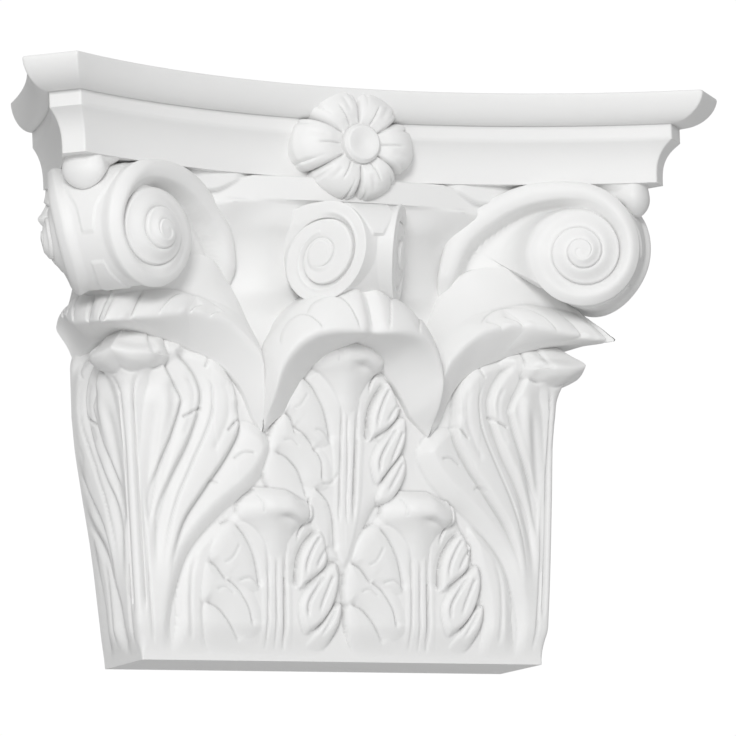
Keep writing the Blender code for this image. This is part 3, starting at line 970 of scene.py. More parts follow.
    def corner_leaf(self, r: Relief) -> None:
        """Carve the tall leaf folded on the corner.

        Args:
            r: The relief, whose x is the distance from the arris.
        """
        r.pad([(-14, -8), (-30, 100), (-40, 158), (0, 164), (26, 158.5), (34, 155), (44, 151.5),
               (52, 147), (58, 138), (61.5, 128), (61.5, 122), (69, 116.5), (75, 110.5), (77, 103),
               (72, 93), (62, 82.5), (49, 73), (37, 62), (27.5, 50), (20.5, 33), (18, 20),
               (15, -8)], 6.6, 8.2, bevel=True)
        r.h -= 3.4 * ramp(r.z, 56.0, 8.0) * (r.h > 0.01)
        r.h = np.maximum(r.h, 0.0)
        near = ramp(r.x, 21.0, 4.0) * ramp(r.z, 146.0, 132.0)
        low = read(((0, 3.2), (40, 2.8), (80, 1.6), (115, 0.4), (200, 0.2)), r.z)
        r.h -= np.maximum(r.h - low, 0.0) * near
        r.pad([(17, -8), (20, 20), (21.5, 35), (26, 49), (36, 61), (46, 67), (42.5, 52), (37.5, 38),
               (34.5, 22), (34, -8)], 3, 5, base=0.6, bevel=True)
        r.cut([(33, 54), (28, 42), (26, 26), (26, 8)], 0.8, 1.2, (0.2, 0.1))
        r.rib([(0, -8), (0, 60), (0, 132)], 1.3, 4.6, (0.1, 0.2))
        r.cut([(6.4, 4), (5.8, 50), (5.6, 90)], 1.2, 0.75, (0.1, 0.3))
        r.cut([(8, 50), (9, 85), (11.5, 105), (14, 120), (17, 132)], 1.7, 2.6, (0.35, 0.2))
        r.step([(18, 148), (22, 140), (28.2, 128), (27.6, 122), (22, 108), (14.5, 92), (10, 78),
               (7.4, 60)], 4.4, 6.5, 1.6, (0.06, 0.3))
        r.cut([(22, 137), (23.2, 124), (18, 106), (12, 87)], 1.5, 3.2, (0.1, 0.3))
        r.step([(24, 151), (32, 145.5), (38.2, 136), (39.5, 125), (32, 106), (22, 89), (14.5, 73),
                (11, 56), (9.4, 36)], 4.8, 6.2, 2.2, (0.06, 0.3))
        r.cut([(40, 123.5), (35, 121), (28, 117.5)], 1.5, 0.65)
        r.cut([(40, 142), (45, 132), (43, 117), (31.5, 95), (22.5, 78), (16, 60), (12.6, 40)],
              1.0, 0.7, (0.15, 0.3))
        r.step([(47, 151), (56, 142), (60.8, 128), (59, 112), (50, 97), (37, 81), (26.5, 67),
                (19, 50), (15.5, 34)], 4.8, 6, 1.8, (0.05, 0.3))
        r.cut([(61, 118.5), (56, 116), (51, 111)], 1.5, 0.65)
        r.cut([(66, 101), (60, 101.5), (54, 98)], 0.9, 0.65)
        r.cut([(46, 86), (42, 87.5), (38, 85)], 0.8, 0.65)
        r.cut([(44, 153), (43.5, 147), (41, 142)], 1, 0.7)
        r.cut([(30, 139), (34, 132), (34, 122), (28, 108)], 0.7, 1.4)
        r.cut([(50, 138), (53, 128), (51, 116), (42, 100)], 0.7, 1.6)
        width = read(((40, 3.6), (90, 4.6), (108, 6.6), (118, 9), (125, 11.8), (134, 15.6),
                      (142, 20), (147, 22.5), (152, 23), (158, 22), (162, 19.5), (166, 15)), r.z)
        square = read(((60, 0.9), (108, 0.6), (134, 0.55), (144, 0.6), (150, 0.55), (166, 0.7)),
                      r.z)
        off = np.abs(r.x)
        drip = 2.2 * ramp(off, 0.0, 6.0) * ramp(off, 13.5, 8.5) + 2.0 * ramp(r.x, 14.0, 19.0)
        shifted = r.z + drip * ramp(r.z, 138.0, 144.0) * ramp(r.z, 158.0, 152.0)
        rise = read(((30, 0), (60, 0.7), (90, 0.9), (120, 1.2), (127, 1.7), (134.5, 3.2),
                     (140, 6.4), (143.5, 11.2), (146.5, 15.2), (149.5, 16.9), (151.5, 15.4),
                     (154, 11.8), (157, 8.4), (160, 5), (163, 2), (166, 0)), shifted)
        r.hood(r.x, width, rise, 0.6, square)
        r.cut([(0, 141.4), (4.5, 139.4), (9, 141), (15, 141.6), (19.5, 144.5)], 1.1, 0.8, (0, 0.2))
        r.step([(10.5, 163), (10, 156), (10.2, 147)], 2.2, 5, 0.5, (0.1, 0.02))
        r.cut([(18.5, 162), (19, 155), (19.8, 148)], 1, 0.7, (0.2, 0.05))
        r.cut([(3.4, 20), (3.4, 100), (3.8, 124), (4.8, 133), (7.4, 139), (12, 142.5)],
              1.7, 0.8, (0.1, 0.15))

    def with_lip(self, depth: Array, along: Array, z: Array) -> Array:
        """Add the bell's rounded rim and the swelling behind the prow.

        Args:
            depth: Depth of the plain bell.
            along: Distance from the middle of the front, along the face.
            z: Heights above the underside.

        Returns:
            The depth with both, and set back above the rim.
        """
        rim = SIZES.lip_depth - self.lip_fall * (along / 70.0) ** 2
        top = self.lip_top - self.lip_drop * ramp(along, 50.0, 74.0)
        ease = ramp(along, 58.0, 74.0)
        neck = ramp(z, top, top + 1.5)
        start = smooth((z - SIZES.lip_level + 6.0 * ease) / (1.1 + 9.0 * ease))
        swell = ramp(along, 62.0, 36.0) * ramp(z, 168.0, 184.0) * ramp(z, 226.0, 212.0)
        flare = ramp(z, 196.0, 225.0) ** 2 * ramp(along, 86.0, 58.0)
        depth = depth + self.swell * swell + self.flare * flare
        depth = depth + (np.maximum(rim, self.lip_least) - depth) * (start * (1.0 - neck))
        reach = np.minimum(along, 200.0)
        edge = np.minimum(self.edge_centre - np.sqrt(self.edge_radius**2 - reach**2), 69.0)
        edge = edge - (edge - 62.0) * ramp(along, 92.0, 106.0)
        set_back = 60.0 + (edge - 60.0) * ramp(along, 46.0, 60.0)
        return depth + (set_back - depth) * neck

    def round_arris(self, x: Array, y: Array, z: Array, h: Array, front: Array,
                    arris: Array) -> Places:
        """Lift the relief off both faces and round the corner between them.

        Args:
            x: Places on the plain bell, along the front.
            y: Their places out from the wall.
            z: Their heights.
            h: Height of the relief there.
            front: Whether each is on the front.
            arris: Distance of each from the arris.

        Returns:
            The carved places.
        """
        turn = math.pi / 4.0 * ramp(arris, 13.0, 0.0)
        radius = 5.0 * ramp(z, 0.0, 14.0) * ramp(z, 150.0, 142.0) + 0.5
        bend = math.pi / 4.0 * np.clip(1.0 - arris / radius, 0.0, 1.0)
        along = radius - np.minimum(arris, radius) - radius * np.sin(bend)
        sink = radius * (1.0 - np.cos(bend))
        across, out = h * np.sin(turn), h * np.cos(turn)
        x = np.where(front, x - along + across, x - sink + out)
        y = np.where(front, y + sink - out, y + along - across)
        return x, y * ramp(y, 0.0, -1.0), z

    def half(self, side: Side) -> bpy.types.Object:
        """Build one half.

        Args:
            side: Which half.

        Returns:
            The piece.
        """
        bm, u, v = grid(self.columns_front + self.columns_return, self.rows_leaf + self.rows_upper)
        share = self.columns_front / (self.columns_front + self.columns_return)
        rows = self.rows_leaf / (self.rows_leaf + self.rows_upper)
        leaves = v / rows * self.leaf_top
        upper = self.leaf_top + (v - rows) / (1.0 - rows) * (self.top - self.leaf_top)
        z = np.where(v < rows, leaves, upper)
        depth = SIZES.bell(z)
        front = u <= share
        to_wall = 1.0 - (u - share) / (1.0 - share)
        half = depth + SIZES.diagonal
        along = np.where(front, u / share * half, SIZES.diagonal + depth * to_wall)
        depth = self.with_lip(depth, along, z)
        half = depth + SIZES.diagonal
        x = np.where(front, half * u / share, half)
        y = np.where(front, -depth, -depth * to_wall)
        arris = np.where(front, half - x, depth + y)
        face = Relief(side.value * x, z)
        self.middle_leaf(face)
        for middle in (-self.small_leaf_at, self.small_leaf_at):
            self.small_leaf(face, middle)
        corner = Relief(arris, z)
        self.corner_leaf(corner)
        h = np.maximum(np.where(front, face.h, 0.0), corner.h)
        near_wall = np.where(front, 0.0, ramp(y, -14.0, -2.0))
        even = read(((20, 0.6), (60, 1.8), (90, 4), (112, 5.2), (150, 5.2), (168, 3), (180, 3),
                     (192, 6.4), (222, 6.4), (234, 1), (240, 0)), z)
        h = h * (z < self.hidden)
        h = (h + (even - h) * near_wall) * ramp(z, 2.0, 19.0)
        x, y, z = self.round_arris(x, y, z, h, front, arris)
        shape(bm, side.value * x, y, z)
        rim = [e for e in bm.edges if e.is_boundary]
        made = bmesh.ops.extrude_edge_only(bm, edges=rim)
        for vert in made["geom"]:
            if isinstance(vert, bmesh.types.BMVert):
                vert.co.y = 0.0
        bmesh.ops.remove_doubles(bm, verts=bm.verts, dist=0.001)
        close_rims(bm)
        return finish_mesh(side.piece("bell"), bm, sharp=60.0, sweeps=3)

    def build(self) -> list[bpy.types.Object]:
        """Both halves, which meet on the middle line."""
        return [self.half(side) for side in Side]


# ---------------------------------------------------------------- abacus


@dataclass
class Abacus:
    """Ovolo, fillet and cavetto on a plan with hollow faces and cut horns."""

    front_depth: float = 80.5
    radius: float = 343.6
    bottom: float = 238.5
    fillet: float = 259.6
    ovolo: float = 267.2
    ease: float = 0.35
    inset: float = 10.9
    inset_bottom: float = 16.0
    horn: float = 14.1
    horn_fillet: float = 8.2
    horn_bottom: float = 6.0
    soft: float = 0.9
    wall: float = 57.0
    wall_gap: float = 0.12
    face_steps: int = 60
    edge_steps: int = 5
    return_steps: int = 40
    ovolo_steps: int = 18
    fillet_steps: int = 4
    cavetto_steps: int = 20

    def outline(self, inset: float, horn: float, z: float) -> list[tuple[float, float, float]]:
        """Draw the plan at one level.

        Args:
            inset: How far the faces stand back.
            horn: Half width of a horn's cut face.
            z: The level.

        Returns:
            Points from the left end at the wall to the right one.
        """
        centre = -(self.front_depth + self.radius)
        radius = self.radius + inset
        k = SIZES.diagonal
        reach = k - horn * math.sqrt(2.0) - centre
        corner = (reach - math.sqrt(2.0 * radius * radius - reach * reach)) / 2.0

        def front_y(x: float) -> float:
            """Find the front's y at an x."""
            return centre + math.sqrt(radius * radius - x * x)

        tip = (corner, front_y(corner))
        back = (k - tip[1], k - tip[0])
        chamfer = math.hypot(back[0] - tip[0], back[1] - tip[1])
        ux, uy = (back[0] - tip[0]) / chamfer, (back[1] - tip[1]) / chamfer
        near = corner - self.soft
        ends = ((near, front_y(near)), tip, (tip[0] + ux * self.soft, tip[1] + uy * self.soft))
        run = [(near * t, front_y(near * t)) for t in shares(self.face_steps)]
        for t in shares(self.edge_steps, 1):
            run.append(tuple(
                (1 - t) ** 2 * a + 2 * t * (1 - t) * b + t * t * c for a, b, c in zip(*ends)
            ))
        for t in shares(8, 1)[:3]:
            run.append((tip[0] + ux * chamfer * t, tip[1] + uy * chamfer * t))
        turned = [step for step in run if step[0] > near - TINY]
        flip = [(k - y, k - x) for x, y in reversed(turned[1:])]
        for t in shares(self.return_steps):
            x = near + (self.wall - near) * t
            flip.append((k - front_y(x), k - x))
        right = run + flip
        left = [(-x, y) for x, y in reversed(right[1:])]
        return [(x, y, z) for x, y in left + right]

    def levels(self) -> list[tuple[float, float, float]]:
        """Draw the moulding's profile.

        Returns:
            The inset, a horn's half width and the level, from the top down.
        """
        crown = SIZES.height - self.ease
        out = [(0.55, self.horn - self.ease, SIZES.height), (0.12, self.horn, crown)]
        for t in shares(self.ovolo_steps, 1):
            angle = math.pi / 2 * t
            run = 1.0 - math.cos(angle) ** 0.92
            drop = math.sin(angle) ** 1.12
            horn = self.horn + (self.horn_fillet - self.horn) * run
            out.append((self.inset * run, horn, crown - (crown - self.ovolo) * drop))
        back = self.inset + 0.05
        out.append((back, self.horn_fillet, self.ovolo - 0.25))
        for t in shares(self.fillet_steps, 1):
            level = self.ovolo - (self.ovolo - self.fillet) * t
            out.append((back, self.horn_fillet, level))
        for drop in shares(self.cavetto_steps, 1):
            run = 1.0 - (1.0 - drop) ** 3.2
            out.append((
                self.inset + (self.inset_bottom - self.inset) * run,
                self.horn_fillet + (self.horn_bottom - self.horn_fillet) * run,
                self.fillet - (self.fillet - self.bottom) * drop,
            ))
        return out

    def build(self) -> bpy.types.Object:
        """Skin the levels and close top, bottom and back.

        Returns:
            The piece.
        """
        rings = [self.outline(*level) for level in self.levels()]
        count = min(len(ring) for ring in rings)
        trimmed = []
        for ring in rings:
            spare = (len(ring) - count) // 2
            trimmed.append(ring[spare:len(ring) - spare])
        last = len(rings) - 1
        bm, u, v = grid(count - 1, last)
        i = np.rint(u * (count - 1)).astype(int)
        j = np.rint(v * last).astype(int)
        shape(bm, *np.array(trimmed)[j, i].T)
        bm.verts.ensure_lookup_table()
        order = {(a, b): vert for a, b, vert in zip(i, j, bm.verts)}
        middles = []
        for b, z in ((0, SIZES.height), (last, self.bottom)):
            middle = bm.verts.new((0.0, 8.0, z))
            middles.append(middle)
            for a in range(count - 1):
                bm.faces.new([order[(a, b)], order[(a + 1, b)], middle])
        for a in (0, count - 1):
            bm.faces.new([order[(a, b)] for b in range(last + 1)] + [middles[1], middles[0]])
        cut_at_wall(bm, self.wall_gap)
        return finish_mesh("abacus", bm, sharp=35.0)


# ---------------------------------------------------------------- scrolls


@dataclass
class Scroll:
    """One face of a scroll, drawn on its plane and read by angle.

    The angle is 0 at the top of the eye's first turn, grows inward, and is
    below 0 along the stem.

    Attributes:
        pole: The middle of the eye.
        radii: Distance of the outer line from the pole at each angle.
        stem_outer: Points on the stem's outer edge, from the scroll down.
        stem_lower: Points on its inner edge, from the foot up.
        start: Angle at the stem's foot.
        joint: Angle at which the outer line meets the stem's inner edge.
        foot: Height of the rim at each angle.
        crown: Height of the ribbon behind the rim.
        swell: Extra height along the ribbon's middle.
        web: Height of the stem's sunk field.
        rib: Width of the stem's rib.
        rib_swell: Its extra height.
        drop: Width of the fall to the next turn; 0 spreads it evenly.
        bead: Height of the bead above that fall.
        bevel: Share of the first turn's rounded edge.
        end: Angle at the pole.
        step: Angle from one station to the next.
        across: Faces across the ribbon.
    """

    pole: tuple[float, float]
    radii: Points
    stem_outer: Points
    stem_lower: Points
    start: float
    joint: float
    foot: Points
    crown: Points
    swell: Points
    web: Points
    rib: Points
    rib_swell: float
    drop: float = 0.0
    bead: float = 0.0
    bevel: float = 0.0
    end: float = 1440.0
    step: float = 2.0
    across: int = 30

    def outer(self, phi: Array) -> tuple[Array, Array]:
        """Find the ribbon's outer line.

        Args:
            phi: Angles.

        Returns:
            Its place on the plane at each angle.
        """
        r = read(self.radii, np.maximum(phi, 0.0))
        angle = np.radians(np.maximum(phi, 0.0))
        a = self.pole[0] + r * np.sin(angle)
        b = self.pole[1] + r * np.cos(angle)
        stem_a, stem_b = follow(self.stem_outer, np.clip(phi / self.start, 0.0, 1.0), 40)
        return np.where(phi < 0.0, stem_a, a), np.where(phi < 0.0, stem_b, b)

    def inner(self, phi: Array) -> tuple[Array, Array]:
        """Find the ribbon's inner line: the stem's edge, then the next turn.

        Args:
            phi: Angles.

        Returns:
            Its place on the plane at each angle.
        """
        a, b = self.outer(phi + 360.0)
        past = phi + 360.0 > self.end
        a = np.where(past, self.pole[0], a)
        b = np.where(past, self.pole[1], b)
        begin = self.joint - 360.0
        share = np.clip((phi - self.start) / (begin - self.start), 0.0, 1.0)
        stem_a, stem_b = follow(self.stem_lower, share, 40)
        return np.where(phi < begin, stem_a, a), np.where(phi < begin, stem_b, b)

    def ring(self, phi: Array, t: Array, d: Array, width: Array, wall: Array) -> Array:
        """Find the height of the turning ribbon.

        Args:
            phi: Angles.
            t: Shares of the way across.
            d: Distances across.
            width: Widths of the ribbon.
            wall: Widths of its rounded edge.

        Returns:
            The height at each place.
        """
        crown = read(self.crown, phi)
        inner = read(self.foot, np.minimum(phi + 360.0, self.end))
        if self.drop > 0.0:
            drop = np.minimum(self.drop, width * 0.45)
            past = d - width + drop
            ring = crown + (inner - crown) * smooth(past / drop)
            ring = ring + self.bead * bump(past, 0.0, 0.8) * (crown > inner + 0.3)
        else:
            fall = smooth((d - wall) / np.maximum(width - wall, TINY)) ** 1.2
            ring = crown + (inner - crown) * fall
        return ring + read(self.swell, phi) * np.sin(math.pi * np.clip(t, 0, 1)) ** 0.8

    def stem(self, phi: Array, d: Array, width: Array, inner: Array) -> Array:
        """Find the height of the stem: a rib along a sunk field.

        Args:
            phi: Angles.
            d: Distances across.
            width: Widths of the ribbon.
            inner: Heights of its inner edge.

        Returns:
            The height at each place.
        """
        rib = read(self.rib, phi)
        web = read(self.web, phi)
        swell = np.sin(math.pi * np.clip(d / rib, 0.0, 1.0)) ** 0.7
        crest = read(self.crown, phi) + self.rib_swell * swell
        fall = smooth((d - rib + 1.0) / 4.0)
        rise = smooth((d - rib - 3.0) / np.maximum(width - rib - 3.0, TINY)) ** 2
        rest = web + (inner - web) * rise
        return crest * (1.0 - fall) + rest * fall

    def surface(self, phi: Array, t: Array) -> Places:
        """Find places on the face.

        Args:
            phi: Angles.
            t: Shares of the way across the ribbon.

        Returns:
            Their two coordinates on the plane, and their height over it.
        """
        a0, b0 = self.outer(phi)
        a1, b1 = self.inner(phi)
        width = np.maximum(np.hypot(a1 - a0, b1 - b0), TINY)
        t = t ** 1.25
        d = t * width
        wall = np.minimum(0.9, width * 0.2)
        first = ramp(phi, -20.0, 40.0) * ramp(phi, 400.0, 310.0) * self.bevel
        wall = wall + (width * 0.5 - wall) * first
        inner = read(self.foot, np.minimum(phi + 360.0, self.end))
        inner = np.where(phi < self.joint - 360.0, read(self.web, phi), inner)
        ring = self.ring(phi, t, d, width, wall)
        stem = self.stem(phi, d, width, inner)
        mix = ramp(phi, -25.0, 50.0)
        up = dome(d / wall)
        foot = read(self.foot, phi)
        c = foot * (1.0 - up) + (stem * (1.0 - mix) + ring * mix) * up
        c = np.where(t >= 1.0, inner, c)
        c = np.where(t <= 0.0, foot, c)
        return a0 + (a1 - a0) * t, b0 + (b1 - b0) * t, c


@dataclass
class ScrollPair:
    """Two mirrored scroll faces joined by a band around their rim.

    Attributes:
        name: The piece's name.
        scroll: The face.
        place: Places one face on the capital.
        mirror: Mirrors it to the other.
        band: How far the band stands out, from the angle, the share of the
            way over, the height on the plane and the band's width.
        trim: Whether the pair is cut at the wall.
        wall_gap: How far in front of it.
        over: Faces over the band.
    """

    name: str
    scroll: Scroll
    place: Place
    mirror: Place
    band: Callable[[Array, Array, Array, Array], Array]
    trim: bool
    wall_gap: float = 0.36
    over: int = 48

    def steps(self, end: float) -> int:
        """Count the stations from the stem's foot to an angle."""
        return int(round((end - self.scroll.start) / self.scroll.step))

    def angles(self, u: Array, steps: int) -> Array:
        """Find the angle of each vertex on a grid with so many stations."""
        return self.scroll.start + np.rint(u * steps) * self.scroll.step

    def face(self, mirrored: bool) -> bmesh.types.BMesh:
        """Carve one face.

        Args:
            mirrored: Whether it is the mirrored one.

        Returns:
            The face.
        """
        steps = self.steps(self.scroll.end)
        bm, u, v = grid(steps, self.scroll.across)
        places = self.place(*self.scroll.surface(self.angles(u, steps), v))
        if mirrored:
            places = self.mirror(*places)
        shape(bm, *places)
        if mirrored:
            bmesh.ops.reverse_faces(bm, faces=bm.faces)
        return bm

    def rim(self) -> bmesh.types.BMesh:
        """Shape the band over the rim.

        Returns:
            The band.
        """
        steps = self.steps(self.scroll.joint)
        bm, u, v = grid(steps, self.over)
        phi = self.angles(u, steps)
        near = self.place(*self.scroll.surface(phi, np.zeros_like(phi)))
        far = self.mirror(*near)
        width = np.sqrt((far[0] - near[0]) ** 2 + (far[1] - near[1]) ** 2)
        a, b = self.scroll.outer(phi)
        proud = self.band(phi, v, b, width)
        away_a, away_b = a - self.scroll.pole[0], b - self.scroll.pole[1]
        size = np.hypot(away_a, away_b)
        level = np.zeros_like(a)
        tip = self.place(a + away_a / size, b + away_b / size, level)
        foot = self.place(a, b, level)
        out = [p - q for p, q in zip(tip, foot)]
        far_out = [p - q for p, q in zip(self.mirror(*tip), self.mirror(*foot))]
        shape(bm, *(
            place + (n * (1 - v) + m * v) * proud
            for place, n, m in zip(between(near, far, v), out, far_out)
        ))
        return bm

    def bridge(self, steps: int, along: bool) -> bmesh.types.BMesh:
        """Close the stem straight over from one face to the other.

        Args:
            steps: Faces along the gap.
            along: Whether it is the one along the inner edge or at the foot.

        Returns:
            The strip.
        """
        bm, u, v = grid(steps, 2)
        phi = self.angles(u, steps) if along else np.full_like(u, self.scroll.start)
        near = self.place(*self.scroll.surface(phi, np.ones_like(u) if along else u))
        shape(bm, *between(near, self.mirror(*near), v))
        return bm

    def build(self) -> bpy.types.Object:
        """Join both faces.

        Returns:
            The piece.
        """
        whole = gather([
            self.face(False),
            self.face(True),
            self.rim(),
            self.bridge(self.steps(self.scroll.joint - 360.0), True),
            self.bridge(self.scroll.across, False),
        ], weld=0.01)
        if self.trim:
            cut_at_wall(whole, self.wall_gap)
        return finish_mesh(self.name, whole, sharp=45.0, sweeps=8)


@dataclass
class Volutes:
    """The corner volutes: two faces back to back on each diagonal."""

    turn: float = math.radians(28.4)
    place_at: tuple[float, float, float] = (122.0, -87.0, 200.0)

    def scroll(self) -> Scroll:
        """Give the lines and heights of one face.

        Returns:
            The face.
        """
        return Scroll(
            pole=(-2.5, 2.6),
            radii=((0, 36.3), (90, 29.5), (180, 26.7), (270, 26), (360, 22.5), (450, 19.5),
                   (540, 16.3), (630, 14.6), (720, 12.3), (810, 10.6), (900, 8.8), (990, 6.8),
                   (1080, 5.9), (1170, 5.4), (1260, 4.2), (1350, 2.2), (1440, 0)),
            stem_outer=((-2.5, 38.9), (-15, 39.6), (-30, 38.3), (-43, 34), (-53, 28), (-63, 20.5),
                        (-70, 11), (-73.8, -1), (-75.3, -12), (-74.5, -22)),
            stem_lower=((-68, -20), (-66.5, -13), (-60, -8.6), (-50, -6.4), (-38, -5.9),
                        (-30, -7.3), (-26.4, -9.6), (-24.1, -13.1)),
            start=-198.0,
            joint=234.0,
            foot=((-198, -10), (-166, -0.9), (-100, 1.5), (0, 3.6), (90, 0.5), (180, 3.2),
                  (234, 6.2), (270, 8), (315, 6.6), (360, 3.2), (405, 1.4), (450, 0.6), (495, 2.4),
                  (540, 5.2), (585, 8), (630, 9.3), (720, 8.5), (765, 7.8), (810, 7.8), (855, 9),
                  (900, 10.5), (990, 12.2), (1080, 12), (1170, 12.6), (1230, 13.6), (1440, 14)),
            crown=((-198, -9), (-166, 0.6), (-100, 3.2), (0, 5.2), (45, 3.4), (90, 1.6),
                   (180, 4.4), (234, 6.6), (270, 8.2), (315, 7.4), (360, 5.6), (405, 3.6),
                   (450, 2.6), (495, 4), (540, 7), (585, 9.5), (630, 10.8), (720, 10.4),
                   (765, 9.5), (810, 9.5), (855, 10.6), (900, 11.9), (990, 13.3), (1080, 13.2),
                   (1170, 13.4), (1230, 13.7), (1440, 14)),
            swell=((-198, 0), (0, 1.5), (60, 3.2), (120, 3.4), (180, 2.2), (270, 0.8), (360, 1.4),
                   (450, 1.4), (540, 1), (630, 0.4), (810, 0.8), (1080, 0.4), (1200, 0)),
            web=((-198, -11), (-165, -7), (-90, -7), (-45, -4.5), (0, 0.5), (40, 1.2)),
            rib=((-198, 6), (-160, 10), (-110, 11.8), (-60, 11.5), (0, 9.5), (60, 9)),
            rib_swell=2.2,
            bevel=0.85,
        )

    def place(self, a: Array, b: Array, c: Array) -> Places:
        """Place points of the right pair's front face.

        Args:
            a: First coordinate on the plane, toward the corner.
            b: Second coordinate, upward.
            c: Height over the plane.

        Returns:
            The places.
        """
        x0, y0, z0 = self.place_at
        x = x0 + a * math.cos(self.turn) - c * math.sin(self.turn)
        y = y0 - a * math.sin(self.turn) - c * math.cos(self.turn)
        return x, y, z0 + b

    def mirror(self, x: Array, y: Array, z: Array) -> Places:
        """Mirror to the right pair's other face, which leans to the wall.

        Args:
            x: Places along the front.
            y: Places out from the wall.
            z: Heights.

        Returns:
            The mirrored places.
        """
        mx, my, mz = across_diagonal(x, y, z)
        level = mz - self.place_at[2]
        lean = read(((-30, 13), (-20, 10.5), (0, 4.8), (20, 2.2), (38, 1)), level)
        lean = lean * ramp(my, -6.0, -40.0)
        return mx - lean * math.cos(self.turn), my - lean * math.sin(self.turn), mz

    def band(self, phi: Array, s: Array, b: Array, width: Array) -> Array:
        """Hollow the nose band and raise a tongue at its top and foot.

        Args:
            phi: Angles.
            s: Shares of the way over.
            b: Heights on the plane.
            width: Widths of the band.

        Returns:
            How far the band stands out of a straight line.
        """
        edge = np.minimum(s, 1.0 - s) * width
        off = np.abs(s - 0.5) * width
        hollow = -1.7 * smooth(edge / 6.0)
        upper = read(((-2, 2.4), (2, 3), (10, 4), (15, 5.2), (20, 8), (25, 11),
                      (32, 14.0)), b)
        lower = read(((-30, 12), (-26, 8), (-20, 4.4), (-14, 3.2)), b)
        tongue = np.where(b > 1.5, smooth((upper - off) / 0.7 + 0.5), 0.0)
        tongue = np.maximum(tongue, np.where(b < -13.5, smooth((lower - off) / 0.7 + 0.5), 0.0))
        return (hollow + 0.75 * tongue) * smooth((phi + 20.0) / 40.0)

    def build(self) -> list[bpy.types.Object]:
        """Build the pair on each corner.

        Returns:
            The pieces.
        """
        return [
            ScrollPair(side.piece("volutes"), self.scroll(), on_side(self.place, side),
                       mirror_on_side(self.mirror, side), self.band, trim=True).build()
            for side in Side
        ]


@dataclass
class Helices:
    """The prow of two smaller scrolls under the rosette."""

    turn: float = math.radians(56.0)
    nose: tuple[float, float] = (7.0, -98.5)
    reach: float = 25.2
    level: float = 197.4
    lean: float = 0.25

    def scroll(self) -> Scroll:
        """Give the lines and heights of one face.

        Returns:
            The face.
        """
        return Scroll(
            pole=(0.0, 1.0),
            radii=((0, 25.2), (90, 25.2), (180, 23.2), (270, 20), (360, 16.8), (450, 17),
                   (540, 14.8), (630, 9.6), (720, 7.6), (810, 7), (900, 6.6), (990, 6),
                   (1080, 5), (1170, 4), (1260, 2.8), (1350, 1.4), (1440, 0)),
            stem_outer=((0, 26.2), (-12, 25.6), (-24, 22), (-33, 13), (-37, 1), (-37, -12)),
            stem_lower=((-34, -18), (-30, -18.5), (-26, -17.4), (-22, -14.4), (-19.2, -11.6)),
            start=-180.0,
            joint=234.0,
            foot=((-180, -12), (-120, -5), (0, 0), (180, 0.4), (270, 0.2), (320, -0.8),
                  (360, -1.9), (450, -2.2), (540, -1.8), (630, -0.8), (720, 0), (810, 0.4),
                  (860, 0.9), (900, 1.7), (940, 2.1), (1440, 2.4)),
            crown=((-180, -11), (-120, -4), (0, 0.6), (180, 0.6), (270, 0.6), (320, 0.5),
                   (360, 0.2), (450, 0.2), (540, 0.6), (630, 1.2), (720, 1.7), (810, 2),
                   (900, 2.1), (1440, 2.4)),
            swell=((-180, 0.2), (0, 0.2), (360, 0.3), (720, 0.2), (1440, 0)),
            web=((-180, -12), (-90, -3), (0, 0.4), (40, 0.5)),
            rib=((-180, 9), (0, 9), (60, 9)),
            rib_swell=0.2,
            drop=2.8,
            bead=0.45,
            across=27,
        )

    def place(self, a: Array, b: Array, c: Array) -> Places:
        """Place points of the right face.

        Args:
            a: First coordinate on the plane, toward the nose.
            b: Second coordinate, upward.
            c: Height over the plane.

        Returns:
            The places.
        """
        cos_turn = math.cos(self.turn)
        sin_turn = math.sin(self.turn)
        x0 = self.nose[0] + self.reach * cos_turn
        y0 = self.nose[1] + self.reach * sin_turn
        x = x0 - a * cos_turn + c * sin_turn
        y = y0 - a * sin_turn - c * cos_turn - b * self.lean
        return x, y, self.level + b

    def band(self, phi: Array, s: Array, b: Array, width: Array) -> Array:
        """Fold the nose band inward, with a flat wedge let in above.

        Args:
            phi: Angles.
            s: Shares of the way over.
            b: Heights on the plane.
            width: Widths of the band.

        Returns:
            How far the band stands out of a straight line.
        """
        edge = np.minimum(s, 1.0 - s) * width
        off = np.abs(s - 0.5) * width
        fold = -3.2 * np.clip(edge / 7.4, 0.0, 1.0)
        panel = read(((8.5, 2.6), (21, 9.5), (27, 12)), b)
        raised = smooth((panel - off) / 0.8 + 0.5) * smooth((b - 8.4) / 0.8 + 0.5)
        wedge = (-0.9 - fold) * raised
        return (fold + wedge) * smooth((phi + 20.0) / 40.0)

    def build(self) -> bpy.types.Object:
        """Build the closed prow."""
        return ScrollPair("helices", self.scroll(), self.place, across_middle, self.band,
                          trim=False).build()


# ---------------------------------------------------------------- calyx


